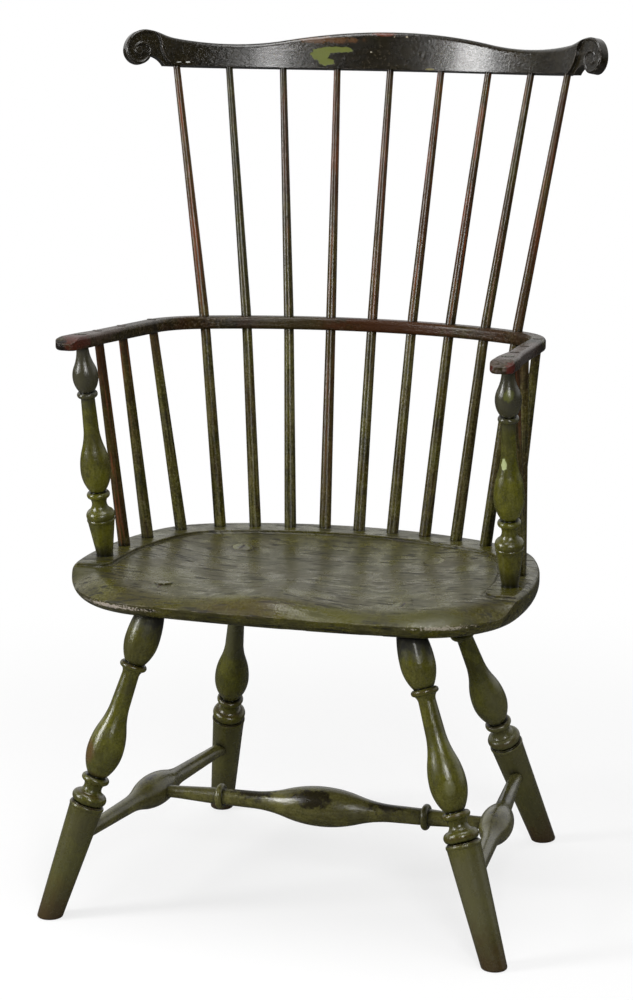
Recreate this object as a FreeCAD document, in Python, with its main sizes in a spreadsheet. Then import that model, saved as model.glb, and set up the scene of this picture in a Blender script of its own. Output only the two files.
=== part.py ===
import FreeCAD, Part
import Sketcher
import math
import os

from FreeCAD import Placement, Rotation, Vector

# Comb back windsor armchair. Millimetres, +Z up, the sitter faces -Y, X is left and right.
# Plan distances are counted from a datum in the middle of the chair's depth.
SIZES = {
    # Seat plank
    "seat_height": 445.0,
    "seat_thickness": 41.0,
    "seat_width": 594.0,
    "seat_back": 142.0,
    "seat_front": 279.0,
    "seat_widest": 120.0,
    "seat_back_radius": 520.0,
    "seat_side_radius": 400.0,
    "seat_front_radius": 2000.0,
    "seat_back_corner": 120.0,
    "seat_front_corner": 130.0,
    "seat_top_round": 7.0,
    "seat_bottom_round": 28.0,
    # Saddle carved into the seat
    "gutter_inset": 48.0,
    "gutter_depth": 3.0,
    "groove_radius": 3.0,
    "groove_depth": 1.9,
    "deck_end": 144.0,
    "deck_tip_radius": 22.0,
    "bowl_depth": 12.5,
    "bowl_centre": 15.0,
    "bowl_half_width": 238.0,
    "bowl_back": 112.0,
    "bowl_front": 200.0,
    "thigh_depth": 9.0,
    "thigh_spacing": 128.0,
    "thigh_spread": 84.0,
    "pommel_height": 2.4,
    "pommel_spread": 42.0,
    "pommel_reach": 10.0,
    "rim_drop": 22.5,
    "rim_roll": 40.0,
    # Legs: where they stand, where they enter the seat, and their turning
    "front_foot_side": 295.3,
    "front_foot_fore": 266.6,
    "rear_foot_side": 236.6,
    "rear_foot_aft": 218.5,
    "front_socket_side": 168.6,
    "front_socket_fore": 211.8,
    "rear_socket_side": 139.8,
    "rear_socket_aft": 37.3,
    "leg_tenon_radius": 12.5,
    "leg_vase_top_radius": 16.5,
    "front_leg_vase_upper": 41.2,
    "rear_leg_vase_upper": 50.4,
    "leg_vase_radius": 22.0,
    "leg_vase_lower": 32.0,
    "leg_vase_bottom_radius": 12.5,
    "leg_collar_height": 8.0,
    "leg_collar_radius": 17.5,
    "leg_collar_base_radius": 14.0,
    "leg_cove_height": 8.0,
    "leg_neck_radius": 11.0,
    "leg_neck_length": 36.0,
    "leg_neck_base_radius": 12.3,
    "leg_baluster": 104.0,
    "leg_bulb_radius": 23.3,
    "leg_bulb_lower": 35.7,
    "leg_bulb_bottom_radius": 11.5,
    "leg_ring_height": 9.0,
    "leg_ring_radius": 18.0,
    "leg_ring_base_radius": 14.0,
    "leg_spool_height": 13.8,
    "leg_spool_depth": 3.0,
    "leg_torus_height": 15.0,
    "leg_torus_radius": 22.4,
    "leg_torus_base_radius": 15.5,
    "leg_groove_height": 1.5,
    "leg_groove_radius": 20.2,
    "leg_bead_height": 5.0,
    "leg_bead_radius": 22.5,
    "leg_foot_top_radius": 21.7,
    "leg_toe_radius": 15.9,
    "leg_toe_round": 3.0,
    # H stretcher
    "stretcher_front_rise": 110.0,
    "stretcher_rear_rise": 121.5,
    "stretcher_stop": 6.5,
    "stretcher_plain": 26.0,
    "stretcher_end_radius": 9.0,
    "stretcher_neck_radius": 11.0,
    "stretcher_bulb_radius": 22.0,
    "stretcher_bulb_length": 150.0,
    "medial_stop": 8.0,
    "medial_plain": 24.0,
    "medial_end_radius": 8.4,
    "medial_ring_offset": 142.0,
    "medial_ring_width": 9.0,
    "medial_ring_radius": 19.0,
    "medial_ring_base_radius": 13.6,
    "medial_rod_radius": 11.2,
    "medial_neck_radius": 11.0,
    "medial_neck_length": 38.0,
    "medial_neck_base_radius": 11.5,
    "medial_bulb_radius": 26.5,
    # Arm posts
    "post_inset": 26.5,
    "post_base_fore": 117.3,
    "post_top_fore": 163.6,
    "post_tenon_length": 28.0,
    "deck_lap": 3.0,
    "post_foot_radius": 10.8,
    "post_cone": 48.0,
    "post_cone_radius": 17.4,
    "post_band_height": 4.0,
    "post_skirt_height": 10.0,
    "post_skirt_radius": 19.1,
    "post_skirt_top_radius": 16.2,
    "post_spool_height": 17.8,
    "post_spool_depth": 4.0,
    "post_ring_height": 9.0,
    "post_ring_radius": 15.0,
    "post_ring_base_radius": 11.5,
    "post_bulb_bottom_radius": 9.6,
    "post_bulb_lower": 29.7,
    "post_bulb_radius": 19.5,
    "post_baluster": 98.3,
    "post_neck_radius": 8.9,
    "post_neck_length": 38.0,
    "post_neck_base_radius": 9.8,
    "post_collar_height": 8.0,
    "post_collar_radius": 13.3,
    "post_collar_base_radius": 10.5,
    "post_vase_bottom_radius": 9.5,
    "post_vase_lower": 20.0,
    "post_vase_radius": 16.5,
    "post_top_radius": 7.8,
    # Arm rail, bent in one piece
    "rail_back": 177.2,
    "rail_back_radius": 400.0,
    "rail_corner_radius": 100.0,
    "rail_half_span": 277.0,
    "rail_flare": 4.5,
    "rail_height": 704.5,
    "rail_rise": 3.4,
    "rail_width": 22.0,
    "rail_thickness": 17.0,
    "rail_round": 5.0,
    "hand_overhang": 52.0,
    "hand_length": 54.0,
    "hand_taper": 45.0,
    "hand_extra_width": 4.0,
    "hand_corner": 11.0,
    "hand_roll_length": 28.0,
    "hand_roll_drop": 8.5,
    "hand_roll_lift": 0.2,
    # Spindles
    "spindle_inset": 22.0,
    "side_spindle_inset": 24.0,
    "spindle_seat_angle": 5.46,
    "spindle_rail_angle": 8.15,
    "spindle_comb_angle": 10.2,
    "spindle_seat_radius": 7.9,
    "spindle_rail_radius": 6.6,
    "spindle_comb_radius": 4.6,
    "spindle_seat_depth": 26.0,
    "spindle_comb_depth": 24.0,
    "spindle_margin": 9.0,
    "short_spindle_top_radius": 5.9,
    "short_front_base_fore": 57.1,
    "short_middle_base_fore": 5.6,
    "short_rear_base_aft": 51.1,
    "short_front_top_fore": 116.8,
    "short_middle_top_fore": 48.8,
    "short_rear_top_aft": 41.0,
    # Comb
    "comb_back": 259.6,
    "comb_bottom": 1046.0,
    "comb_lean": 13.9,
    "comb_radius": 410.0,
    "comb_bend": 41.0,
    "comb_thickness": 16.0,
    "comb_peak": 51.0,
    "comb_dip": 19.2,
    "comb_dip_offset": 250.0,
    "comb_peak_share": 0.57,
    "comb_end_drop": 16.9,
    "comb_round": 6.0,
    # Scrolled ears of the comb, in the plane of the straight end
    "ear_thickness": 11.5,
    "ear_rise": 26.1,
    "ear_reach": 44.0,
    "ear_centre_drop": 2.9,
    "ear_lobe_radius": 18.5,
    "ear_corner_reach": 17.0,
    "ear_corner_drop": 18.5,
    "ear_notch_angle": 15.0,
    "ear_neck_bulge": 2.5,
    "ear_step_top": 35.0,
    "ear_step_middle": 23.5,
    "ear_step_middle_rise": 5.0,
    "ear_step_bottom": 6.0,
    "ear_step_bulge": 3.0,
    "scroll_bead_radius": 1.7,
    "scroll_bead_inset": 2.5,
    "scroll_inner_radius": 10.5,
    "scroll_eye_radius": 4.6,
    # Wedges, pins and fits
    "leg_wedge_width": 19.0,
    "leg_wedge_thickness": 3.0,
    "leg_wedge_tip": 1.0,
    "leg_wedge_length": 24.0,
    "arm_wedge_width": 8.6,
    "arm_wedge_thickness": 1.8,
    "arm_wedge_tip": 0.6,
    "arm_wedge_length": 11.0,
    "comb_pin_radius": 1.8,
    "comb_pin_length": 11.0,
    "comb_pin_rise": 12.0,
    "tenon_proud": 0.6,
    "fit_clearance": 0.1,
    "socket_end_gap": 1.0,
    "origin_setback": 0.9,
}

doc = FreeCAD.newDocument("windsor_armchair")
sheet = doc.addObject("Spreadsheet::Sheet", "sizes")
for row, (name, value) in enumerate(SIZES.items(), start=1):
    sheet.set(f"A{row}", name)
    sheet.set(f"B{row}", str(value))
    sheet.setAlias(f"B{row}", name)
doc.recompute()


class Length:
    """A value together with the sheet expression that gives it."""

    def __init__(self, value, text):
        self.value = value
        self.text = text

    def __add__(self, other):
        return Length(self.value + other.value, f"({self.text} + {other.text})")

    def __sub__(self, other):
        return Length(self.value - other.value, f"({self.text} - {other.text})")

    def __mul__(self, factor):
        return Length(self.value * factor, f"({self.text} * {factor})")


def cell(alias):
    return Length(sheet.get(alias), f"sizes.{alias}")


def size(alias):
    return sheet.get(alias)


def number(value):
    return Length(value, f"{value:.9f}")


zero = number(0.0)


def place(x, y, z):
    return Vector(x, y + size("origin_setback"), z)


def mirrored(point, side):
    return Vector(point.x * side, point.y, point.z)


def origin_plane(body, role):
    for feature in body.Origin.OriginFeatures:
        if feature.Role == role:
            return feature
    raise RuntimeError("no plane " + role)


def new_sketch(body, name, role):
    sketch = body.newObject("Sketcher::SketchObject", name)
    sketch.AttachmentSupport = [(origin_plane(body, role), "")]
    sketch.MapMode = "FlatFace"
    return sketch


def aim(start, end):
    """Stand the Z axis from start to end, a round piece's seam turned to the middle of the chair."""
    inward = Rotation(Vector(0, 0, 1), 180.0 if start.x > 0 else 0.0)
    return Placement(start, Rotation(Vector(0, 0, 1), end - start).multiply(inward))


def arc_between(start, end, radius, bulge_sign):
    """Minor arc from start to end; a positive sign bulges to the right of the direction of travel."""
    chord = end - start
    middle = (start + end) * 0.5
    right = Vector(chord.y, -chord.x, 0).normalize()
    reach = math.sqrt(max(radius ** 2 - (chord.Length / 2) ** 2, 0.0))
    sagitta = radius - reach
    return start, middle + right * (bulge_sign * sagitta), end


class TurnedProfile:
    """Half section of a turned piece, drawn from its lower end upwards."""

    def __init__(self, radius, height):
        self.points = [(radius, height)]
        self.curves = []

    def line(self, radius, rise):
        self.points.append((radius, self.points[-1][1] + rise))
        self.curves.append(None)

    def arc(self, radius, rise, arc_radius, sign):
        self.points.append((radius, self.points[-1][1] + rise))
        self.curves.append((arc_radius, sign))

    def bulge(self, radius, rise, depth, sign):
        """Arc whose middle stands off its chord by depth: a bead for +1, a cove for -1."""
        start = self.points[-1][0]
        step = radius - start
        value = ((rise.value ** 2 + step.value ** 2) / 4 + depth.value ** 2) / (2 * depth.value)
        text = f"((({rise.text})^2 + ({step.text})^2) / 4 + ({depth.text})^2) / (2 * ({depth.text}))"
        self.arc(radius, rise, Length(value, text), sign)

    def quarter(self, radius, rise, sign):
        """Arc that runs along the axis at its wide end, or at the narrow end of a cove."""
        start = self.points[-1][0]
        step = radius - start
        value = (rise.value ** 2 + step.value ** 2) / (2 * abs(step.value))
        text = f"(({rise.text})^2 + ({step.text})^2) / (2 * abs({step.text}))"
        self.arc(radius, rise, Length(value, text), sign)

    def ogee(self, radius, rise, share, first_sign):
        """Two arcs that run along the axis at both ends and meet at share of the way."""
        start = self.points[-1][0]
        step = radius - start
        value = (rise.value ** 2 + step.value ** 2) / (2 * abs(step.value))
        text = f"(({rise.text})^2 + ({step.text})^2) / (2 * abs({step.text}))"
        self.arc(start + step * share, rise * share, Length(value * share, f"{share} * {text}"), first_sign)
        rest = 1 - share
        self.arc(radius, rise * rest, Length(value * rest, f"{rest} * {text}"), -first_sign)


def bind(sketch, kind, references, length):
    index = sketch.addConstraint(Sketcher.Constraint(kind, *references, length.value))
    sketch.setExpression(f"Constraints[{index}]", length.text)


def circle_arc(centre, radius, start, end):
    return Part.ArcOfCircle(Part.Circle(centre, Vector(0, 0, 1), radius), start, end)


def drawn_arc(start, middle, end):
    """Arc through three points, drawn counterclockwise as a sketch counts it, and the order of its ends."""
    circle = Part.Circle(start, middle, end)
    forward = (middle - start).cross(end - middle).z > 0
    first, last = (start, end) if forward else (end, start)
    first_turn = math.atan2(first.y - circle.Center.y, first.x - circle.Center.x)
    last_turn = math.atan2(last.y - circle.Center.y, last.x - circle.Center.x)
    if last_turn < first_turn:
        last_turn += 2 * math.pi
    return circle_arc(circle.Center, circle.Radius, first_turn, last_turn), (1, 2) if forward else (2, 1)


def draw_chain(sketch, pieces):
    """Draw a closed loop of lines (two points) and arcs (three), and give the order of each one's ends."""
    ends = []
    for points in pieces:
        if len(points) == 2:
            geometry, order = Part.LineSegment(*points), (1, 2)
        else:
            geometry, order = drawn_arc(*points)
        sketch.addGeometry(geometry, False)
        ends.append(order)
    for index in range(len(pieces)):
        after = (index + 1) % len(pieces)
        sketch.addConstraint(Sketcher.Constraint("Coincident", index, ends[index][1], after, ends[after][0]))
    return ends


def turned_body(name, profile):
    body = doc.addObject("PartDesign::Body", name)
    sketch = new_sketch(body, name + "_section", "XZ_Plane")
    corners = [(zero, profile.points[0][1])] + profile.points + [(zero, profile.points[-1][1])]
    curves = [None] + profile.curves + [None, None]
    vectors = [Vector(radius.value, height.value, 0) for radius, height in corners]
    pieces = []
    for index, curve in enumerate(curves):
        start = vectors[index]
        end = vectors[(index + 1) % len(vectors)]
        if curve is None:
            pieces.append((start, end))
        else:
            pieces.append(arc_between(start, end, curve[0].value, curve[1]))
    ends = draw_chain(sketch, pieces)
    for index, (radius, height) in enumerate(corners):
        bind(sketch, "DistanceX", (-1, 1, index, ends[index][0]), radius)
        bind(sketch, "DistanceY", (-1, 1, index, ends[index][0]), height)
    for index, curve in enumerate(curves):
        if curve is not None:
            bind(sketch, "Radius", (index,), curve[0])
    turning = body.newObject("PartDesign::Revolution", name + "_turning")
    turning.Profile = sketch
    turning.ReferenceAxis = (sketch, ["V_Axis"])
    turning.Angle = 360.0
    body.Tip = turning
    return body


def cut(name, base, *tools):
    for index, tool in enumerate(tools):
        last = index == len(tools) - 1
        result = doc.addObject("Part::Cut", name if last else f"{name}_stage_{index + 1}")
        result.Base = base
        result.Tool = tool
        base = result
    return base


def rod(name, start, end, radius_text):
    """Cylinder from start to end, its radius bound to the sheet."""
    cylinder = doc.addObject("Part::Cylinder", name)
    cylinder.setExpression("Radius", radius_text)
    cylinder.Height = (end - start).Length
    cylinder.Placement = aim(start, end)
    return cylinder


def group(name, members):
    compound = doc.addObject("Part::Compound", name)
    compound.Links = members
    return compound


# Seat outline: tangent arcs, counted counterclockwise from the front
def tangent_corner(first, first_radius, second, second_radius, radius, pick):
    """Centre of the arc of this radius that touches two circles from inside."""
    reach_one = first_radius - radius
    reach_two = second_radius - radius
    gap = second - first
    along = (reach_one ** 2 - reach_two ** 2 + gap.Length ** 2) / (2 * gap.Length)
    across = math.sqrt(reach_one ** 2 - along ** 2)
    unit = Vector(gap).normalize()
    side = Vector(-unit.y, unit.x, 0)
    return max((first + unit * along + side * across, first + unit * along - side * across), key=pick)


def seat_outline(inset):
    """Centre, radius and end angles of each arc of the seat's edge, moved in by inset."""
    back_radius = size("seat_back_radius")
    side_radius = size("seat_side_radius")
    front_radius = size("seat_front_radius")
    back = Vector(0, size("seat_back") - back_radius, 0)
    front = Vector(0, front_radius - size("seat_front"), 0)
    right = Vector(size("seat_width") / 2 - side_radius, -size("seat_widest"), 0)
    back_corner = size("seat_back_corner")
    front_corner = size("seat_front_corner")
    rear = tangent_corner(back, back_radius, right, side_radius, back_corner, lambda p: p.x)
    fore = tangent_corner(front, front_radius, right, side_radius, front_corner, lambda p: p.x)

    def heading(start, end):
        return math.atan2(end.y - start.y, end.x - start.x)

    front_turn = heading(front, fore)
    fore_turn = heading(right, fore)
    rear_turn = heading(right, rear)
    back_turn = heading(back, rear)

    def flip(angle):
        return math.pi - angle

    full = 2 * math.pi
    left = mirrored(right, -1)
    return [
        (front, front_radius - inset, -math.pi - front_turn, front_turn),
        (fore, front_corner - inset, front_turn, fore_turn),
        (right, side_radius - inset, fore_turn, rear_turn),
        (rear, back_corner - inset, rear_turn, back_turn),
        (back, back_radius - inset, back_turn, flip(back_turn)),
        (mirrored(rear, -1), back_corner - inset, flip(back_turn), flip(rear_turn)),
        (left, side_radius - inset, flip(rear_turn), flip(fore_turn)),
        (mirrored(fore, -1), front_corner - inset, flip(fore_turn), full - math.pi - front_turn),
    ]


def edge_distance(outline, x, y):
    """How far a point lies inside the seat's edge."""
    best = None
    for centre, radius, start, end in outline:
        angle = math.atan2(y - centre.y, x - centre.x)
        while angle < start:
            angle += 2 * math.pi
        distance = radius - math.hypot(x - centre.x, y - centre.y)
        if angle <= end and (best is None or distance < best):
            best = distance
    return best if best is not None else 0.0


def deck_back_point(angle):
    """Point on the line of spindle holes along the back of the seat."""
    centre, radius = seat_outline(size("spindle_inset"))[4][:2]
    turn = math.radians(angle)
    return Vector(centre.x + radius * math.sin(turn), centre.y + radius * math.cos(turn), 0)


def deck_side_point(inset, y):
    """Point on the right side of the seat, moved in from its edge."""
    arcs = seat_outline(inset)
    for centre, radius, start, end in (arcs[2], arcs[3]):
        if abs(y - centre.y) <= radius:
            angle = math.asin((y - centre.y) / radius)
            if start - 1e-9 <= angle <= end + 1e-9:
                return Vector(centre.x + radius * math.cos(angle), y, 0)
    raise RuntimeError("no seat edge at this depth")


def seat_blank():
    body = doc.addObject("PartDesign::Body", "seat_blank")
    sketch = new_sketch(body, "seat_edge", "XY_Plane")
    outline = seat_outline(0.0)
    radius_names = ["seat_front_radius", "seat_front_corner", "seat_side_radius", "seat_back_corner",
                    "seat_back_radius", "seat_back_corner", "seat_side_radius", "seat_front_corner"]
    for centre, radius, start, end in outline:
        sketch.addGeometry(circle_arc(centre, radius, start, end), False)
    for index in range(len(outline)):
        sketch.addConstraint(Sketcher.Constraint("Tangent", index, 2, (index + 1) % len(outline), 1))
    for index, alias in enumerate(radius_names):
        bind(sketch, "Radius", (index,), cell(alias))
    half = cell("seat_width") * 0.5
    reach = half - cell("seat_side_radius")
    for index, across, along in (
            (0, zero, cell("seat_front_radius") - cell("seat_front")),
            (2, reach, zero - cell("seat_widest")),
            (4, zero, cell("seat_back") - cell("seat_back_radius")),
            (6, zero - reach, zero - cell("seat_widest"))):
        bind(sketch, "DistanceX", (-1, 1, index, 3), across)
        bind(sketch, "DistanceY", (-1, 1, index, 3), along)
    pad = body.newObject("PartDesign::Pad", "seat_plank")
    pad.Profile = sketch
    pad.setExpression("Length", "sizes.seat_thickness")
    doc.recompute()
    caps = {}
    for index, face in enumerate(pad.Shape.Faces, start=1):
        normal = face.normalAt(0, 0)
        if abs(normal.z) > 0.99:
            caps["top" if normal.z > 0 else "bottom"] = f"Face{index}"
    under = body.newObject("PartDesign::Fillet", "seat_bottom_rounding")
    under.Base = (pad, [caps["bottom"]])
    under.setExpression("Radius", "sizes.seat_bottom_round")
    doc.recompute()
    tops = [index for index, face in enumerate(under.Shape.Faces, start=1)
            if face.CenterOfMass.z > size("seat_thickness") - 0.01]
    over = body.newObject("PartDesign::Fillet", "seat_top_rounding")
    over.Base = (under, [f"Face{tops[0]}"])
    over.setExpression("Radius", "sizes.seat_top_round")
    body.Tip = over
    body.Placement = Placement(place(0, 0, size("seat_height") - size("seat_thickness")), Rotation())
    return body


def smooth_step(value):
    value = min(max(value, 0.0), 1.0)
    return value * value * (3 - 2 * value)


def saddle_depth(outline, x, y):
    """How far the carved saddle lies below the spindle deck."""
    across = x / size("bowl_half_width")
    from_centre = y + size("bowl_centre")
    along = from_centre / size("bowl_back" if from_centre > 0 else "bowl_front")
    hollow = max(0.0, 1 - (across ** 2 + along ** 2) ** 2) ** 1.5
    fore = smooth_step(-from_centre / size("bowl_front"))
    thigh = math.exp(-((abs(x) - size("thigh_spacing")) / size("thigh_spread")) ** 2)
    pommel = math.exp(-(x / size("pommel_spread")) ** 2)
    depth = (size("gutter_depth")
             + size("bowl_depth") * hollow
             + size("thigh_depth") * fore * thigh
             - size("pommel_height") * fore * pommel)
    # The front rim rolls over to one level all round, in a shorter roll at the pommel
    roll = size("rim_roll") - size("pommel_reach") * pommel
    near_rim = max(0.0, 1 - edge_distance(outline, x, y) / roll)
    front = smooth_step((-y - size("deck_end") - size("deck_tip_radius")) / size("seat_thickness"))
    return depth + (size("rim_drop") - depth) * front * near_rim ** 2


def deck_foot(inset, reach):
    """Line where the deck steps down to the saddle, moved in by inset, and its right end."""
    arcs = seat_outline(size("gutter_inset") + inset)
    side_centre, side_radius, side_start, side_end = arcs[2]
    turn = math.asin((-size("deck_end") - side_centre.y) / (side_radius + inset))
    tip = size("deck_tip_radius")
    heading = Vector(math.cos(turn), math.sin(turn), 0)
    tip_centre = side_centre + heading * (side_radius + inset + tip)
    toe = tip_centre - Vector(0, tip + inset, 0)
    wide = Vector(reach, toe.y, 0)
    right = [
        Part.LineSegment(wide, toe),
        circle_arc(tip_centre, tip + inset, math.pi + turn, 1.5 * math.pi),
        circle_arc(side_centre, side_radius, turn, side_end),
        circle_arc(*arcs[3]),
    ]
    edges = [piece.toShape() for piece in right]
    left = [edge.mirror(Vector(0, 0, 0), Vector(1, 0, 0)) for edge in edges]
    return edges + left + [circle_arc(*arcs[4]).toShape()], wide


def gutter_groove():
    """Round groove along the foot of the deck."""
    radius = size("groove_radius")
    inset = radius + 2 * size("fit_clearance")
    edges, start = deck_foot(inset, size("seat_width") / 2 + radius)
    line = Part.Wire(Part.__sortEdges__(edges))
    section = Part.Wire([Part.Circle(start, Vector(1, 0, 0), radius).toShape()])
    feature = doc.addObject("Part::Feature", "gutter_groove")
    feature.Shape = line.makePipeShell([section], True, False)
    floor = size("seat_height") - size("gutter_depth") - size("groove_depth")
    feature.Placement = Placement(place(0, 0, floor + radius), Rotation())
    return feature


def saddle_space():
    """The space above the carved saddle: what the carver takes out of the plank."""
    outline = seat_outline(0.0)
    overrun = size("seat_thickness")
    half = size("seat_width") / 2 + overrun
    columns = 37
    rows = 37
    near = -size("seat_front") - overrun
    far = size("seat_back")
    grid = []
    for column in range(columns):
        x = half * (2 * column / (columns - 1) - 1)
        line = []
        for row_index in range(rows):
            y = near + (far - near) * row_index / (rows - 1)
            line.append(Vector(x, y, -saddle_depth(outline, x, y)))
        grid.append(line)
    surface = Part.BSplineSurface()
    surface.interpolate(grid)
    above = surface.toShape().extrude(Vector(0, 0, 2 * overrun))
    # Plan of the carving: inside the gutter at the back and sides, open to the front
    edges, wide = deck_foot(0.0, half - overrun / 2)
    corner = Vector(wide.x, near + overrun / 2, 0)
    outer = [wide, corner, mirrored(corner, -1), mirrored(wide, -1)]
    for start, end in zip(outer, outer[1:]):
        edges.append(Part.LineSegment(start, end).toShape())
    wire = Part.Wire(Part.__sortEdges__(edges))
    plan = Part.Face(wire).extrude(Vector(0, 0, 4 * overrun))
    plan.translate(Vector(0, 0, -2 * overrun))
    feature = doc.addObject("Part::Feature", "saddle_space")
    feature.Shape = plan.common(above)
    feature.Placement = Placement(place(0, 0, size("seat_height")), Rotation())
    return feature


# Legs
def leg_ends(front, side):
    """Where a leg's axis meets the floor and the seat's underside."""
    if front:
        foot = place(size("front_foot_side"), -size("front_foot_fore"), 0)
        top = (size("front_socket_side"), -size("front_socket_fore"))
    else:
        foot = place(size("rear_foot_side"), size("rear_foot_aft"), 0)
        top = (size("rear_socket_side"), size("rear_socket_aft"))
    under = place(top[0], top[1], size("seat_height") - size("seat_thickness"))
    return mirrored(foot, side), mirrored(under, side)


def leg_body(name, foot, under, vase_upper):
    elements = ["leg_bead_height", "leg_groove_height", "leg_torus_height", "leg_spool_height",
                "leg_ring_height", "leg_bulb_lower", "leg_baluster", "leg_cove_height",
                "leg_collar_height", "leg_vase_lower"]
    plain = number((under - foot).Length) - cell(vase_upper)
    for element in elements:
        plain = plain - cell(element)
    # The foot's taper runs on below the floor, where it is cut off level
    below_floor = cell("leg_foot_top_radius")
    taper = cell("leg_foot_top_radius") - cell("leg_toe_radius")
    run_out = taper * (below_floor.value / plain.value)
    profile = TurnedProfile(cell("leg_toe_radius") - run_out, zero - below_floor)
    profile.line(cell("leg_foot_top_radius"), plain + below_floor)
    bead_depth = cell("leg_bead_radius") - cell("leg_foot_top_radius")
    profile.bulge(cell("leg_foot_top_radius"), cell("leg_bead_height"), bead_depth, 1)
    profile.line(cell("leg_groove_radius"), zero)
    profile.line(cell("leg_groove_radius"), cell("leg_groove_height"))
    profile.line(cell("leg_torus_base_radius"), zero)
    torus_depth = cell("leg_torus_radius") - cell("leg_torus_base_radius")
    profile.bulge(cell("leg_torus_base_radius"), cell("leg_torus_height"), torus_depth, 1)
    profile.bulge(cell("leg_ring_base_radius"), cell("leg_spool_height"), cell("leg_spool_depth"), -1)
    ring_depth = cell("leg_ring_radius") - cell("leg_ring_base_radius")
    profile.bulge(cell("leg_ring_base_radius"), cell("leg_ring_height"), ring_depth, 1)
    profile.line(cell("leg_bulb_bottom_radius"), zero)
    profile.quarter(cell("leg_bulb_radius"), cell("leg_bulb_lower"), 1)
    profile.ogee(cell("leg_neck_base_radius"), cell("leg_baluster") - cell("leg_neck_length"), 0.48, 1)
    profile.line(cell("leg_neck_radius"), cell("leg_neck_length"))
    profile.quarter(cell("leg_collar_base_radius"), cell("leg_cove_height"), -1)
    collar_depth = cell("leg_collar_radius") - cell("leg_collar_base_radius")
    profile.bulge(cell("leg_collar_base_radius"), cell("leg_collar_height"), collar_depth, 1)
    profile.line(cell("leg_vase_bottom_radius"), zero)
    profile.quarter(cell("leg_vase_radius"), cell("leg_vase_lower"), 1)
    profile.quarter(cell("leg_vase_top_radius"), cell(vase_upper), 1)
    profile.line(cell("leg_vase_top_radius"), cell("seat_thickness") * 1.6)
    body = turned_body(name + "_turning", profile)
    body.Placement = aim(foot, under)
    return body


def box(name, corner, length, width, height):
    solid = doc.addObject("Part::Box", name)
    solid.Length = length
    solid.Width = width
    solid.Height = height
    solid.Placement = Placement(corner, Rotation())
    return solid


def rounded(name, base, alias, chosen):
    """Round the edges whose ends all pass a test."""
    doc.recompute()
    rounding = doc.addObject("Part::Fillet", name)
    rounding.Base = base
    radius = size(alias)
    rounding.Edges = [(index, radius, radius) for index, edge in enumerate(base.Shape.Edges, start=1)
                      if all(chosen(vertex.Point) for vertex in edge.Vertexes)]
    return rounding


def wedge(name, grown, prefix):
    """Thin tapered wedge, tip down, its top at its own origin; grown by a clearance for its slot."""
    solid = doc.addObject("Part::Wedge", name)
    half_width = f"(sizes.{prefix}_wedge_width / 2 + {grown})"
    half_top = f"(sizes.{prefix}_wedge_thickness / 2 + {grown})"
    half_tip = f"(sizes.{prefix}_wedge_tip / 2 + {grown})"
    for key, text in {
            "Xmin": f"-{half_tip}", "Xmax": half_tip, "X2min": f"-{half_top}", "X2max": half_top,
            "Zmin": f"-{half_width}", "Zmax": half_width, "Z2min": f"-{half_width}", "Z2max": half_width,
            "Ymin": f"-sizes.{prefix}_wedge_length - {grown}",
            "Ymax": f"sizes.{prefix}_wedge_thickness"}.items():
        solid.setExpression(key, text)
    return solid


def stand_wedge(solid, point, axis, across):
    """Stand a wedge's depth along the tenon's axis, its width along across."""
    depth = Vector(axis).normalize()
    width = (across - depth * across.dot(depth)).normalize()
    thick = depth.cross(width)
    solid.Placement = Placement(point, Rotation(thick, depth, width, "ZXY"))


sub_parts = []


def finish(feature, label):
    feature.Label = label
    sub_parts.append(feature)
    return feature


clear = "sizes.fit_clearance"
far_reach = 2 * size("seat_width")
sides = {"left": -1, "right": 1}


def on_floor(point):
    return point.z < size("fit_clearance")


saddle = saddle_space()
floor_corner = Vector(-far_reach, -far_reach, -far_reach)
floor_space = box("floor_space", floor_corner, 2 * far_reach, 2 * far_reach, far_reach)
seat_tools = []
leg_sockets = []
leg_wedges = []
leg_features = {}
seat_slab_height = size("seat_thickness") * 2

for pair in ("front", "rear"):
    for side_name, side in sides.items():
        name = f"{pair}_{side_name}_leg"
        foot, under = leg_ends(pair == "front", side)
        axis = (under - foot).normalize()
        top = under + axis * (size("seat_thickness") / axis.z)
        body = leg_body(name, foot, under, f"{pair}_leg_vase_upper")
        levelled = cut(name + "_levelled", body, floor_space)
        standing = rounded(name + "_toe", levelled, "leg_toe_round", on_floor)
        # Above the seat's underside only the tenon is left
        slab = box(name + "_seat_slab", place(-far_reach, -far_reach, under.z), 2 * far_reach, 2 * far_reach,
                   seat_slab_height)
        tenon = rod(name + "_tenon", foot, top + axis * seat_slab_height, "sizes.leg_tenon_radius")
        shoulder = cut(name + "_shoulder_space", slab, tenon)
        slot = wedge(name + "_wedge_slot", clear, "leg")
        key = wedge(name + "_wedge_blank", "0", "leg")
        depth = saddle_depth(seat_outline(0.0), top.x, top.y - size("origin_setback"))
        head = under + axis * ((size("seat_thickness") - depth) / axis.z)
        for solid in (slot, key):
            stand_wedge(solid, head, axis, Vector(0, 1, 0))
        leg_wedges.append(cut(name + "_wedge", key, saddle))
        leg_features[pair, side_name] = cut(name + "_fitted", standing, shoulder, saddle, slot)
        leg_sockets.append(rod(name + "_socket", foot, top + axis * seat_slab_height,
                               f"sizes.leg_tenon_radius + {clear}"))


# H stretcher
def leg_point(pair, side, rise):
    foot, under = leg_ends(pair == "front", side)
    return foot + (under - foot).normalize() * rise


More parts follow.
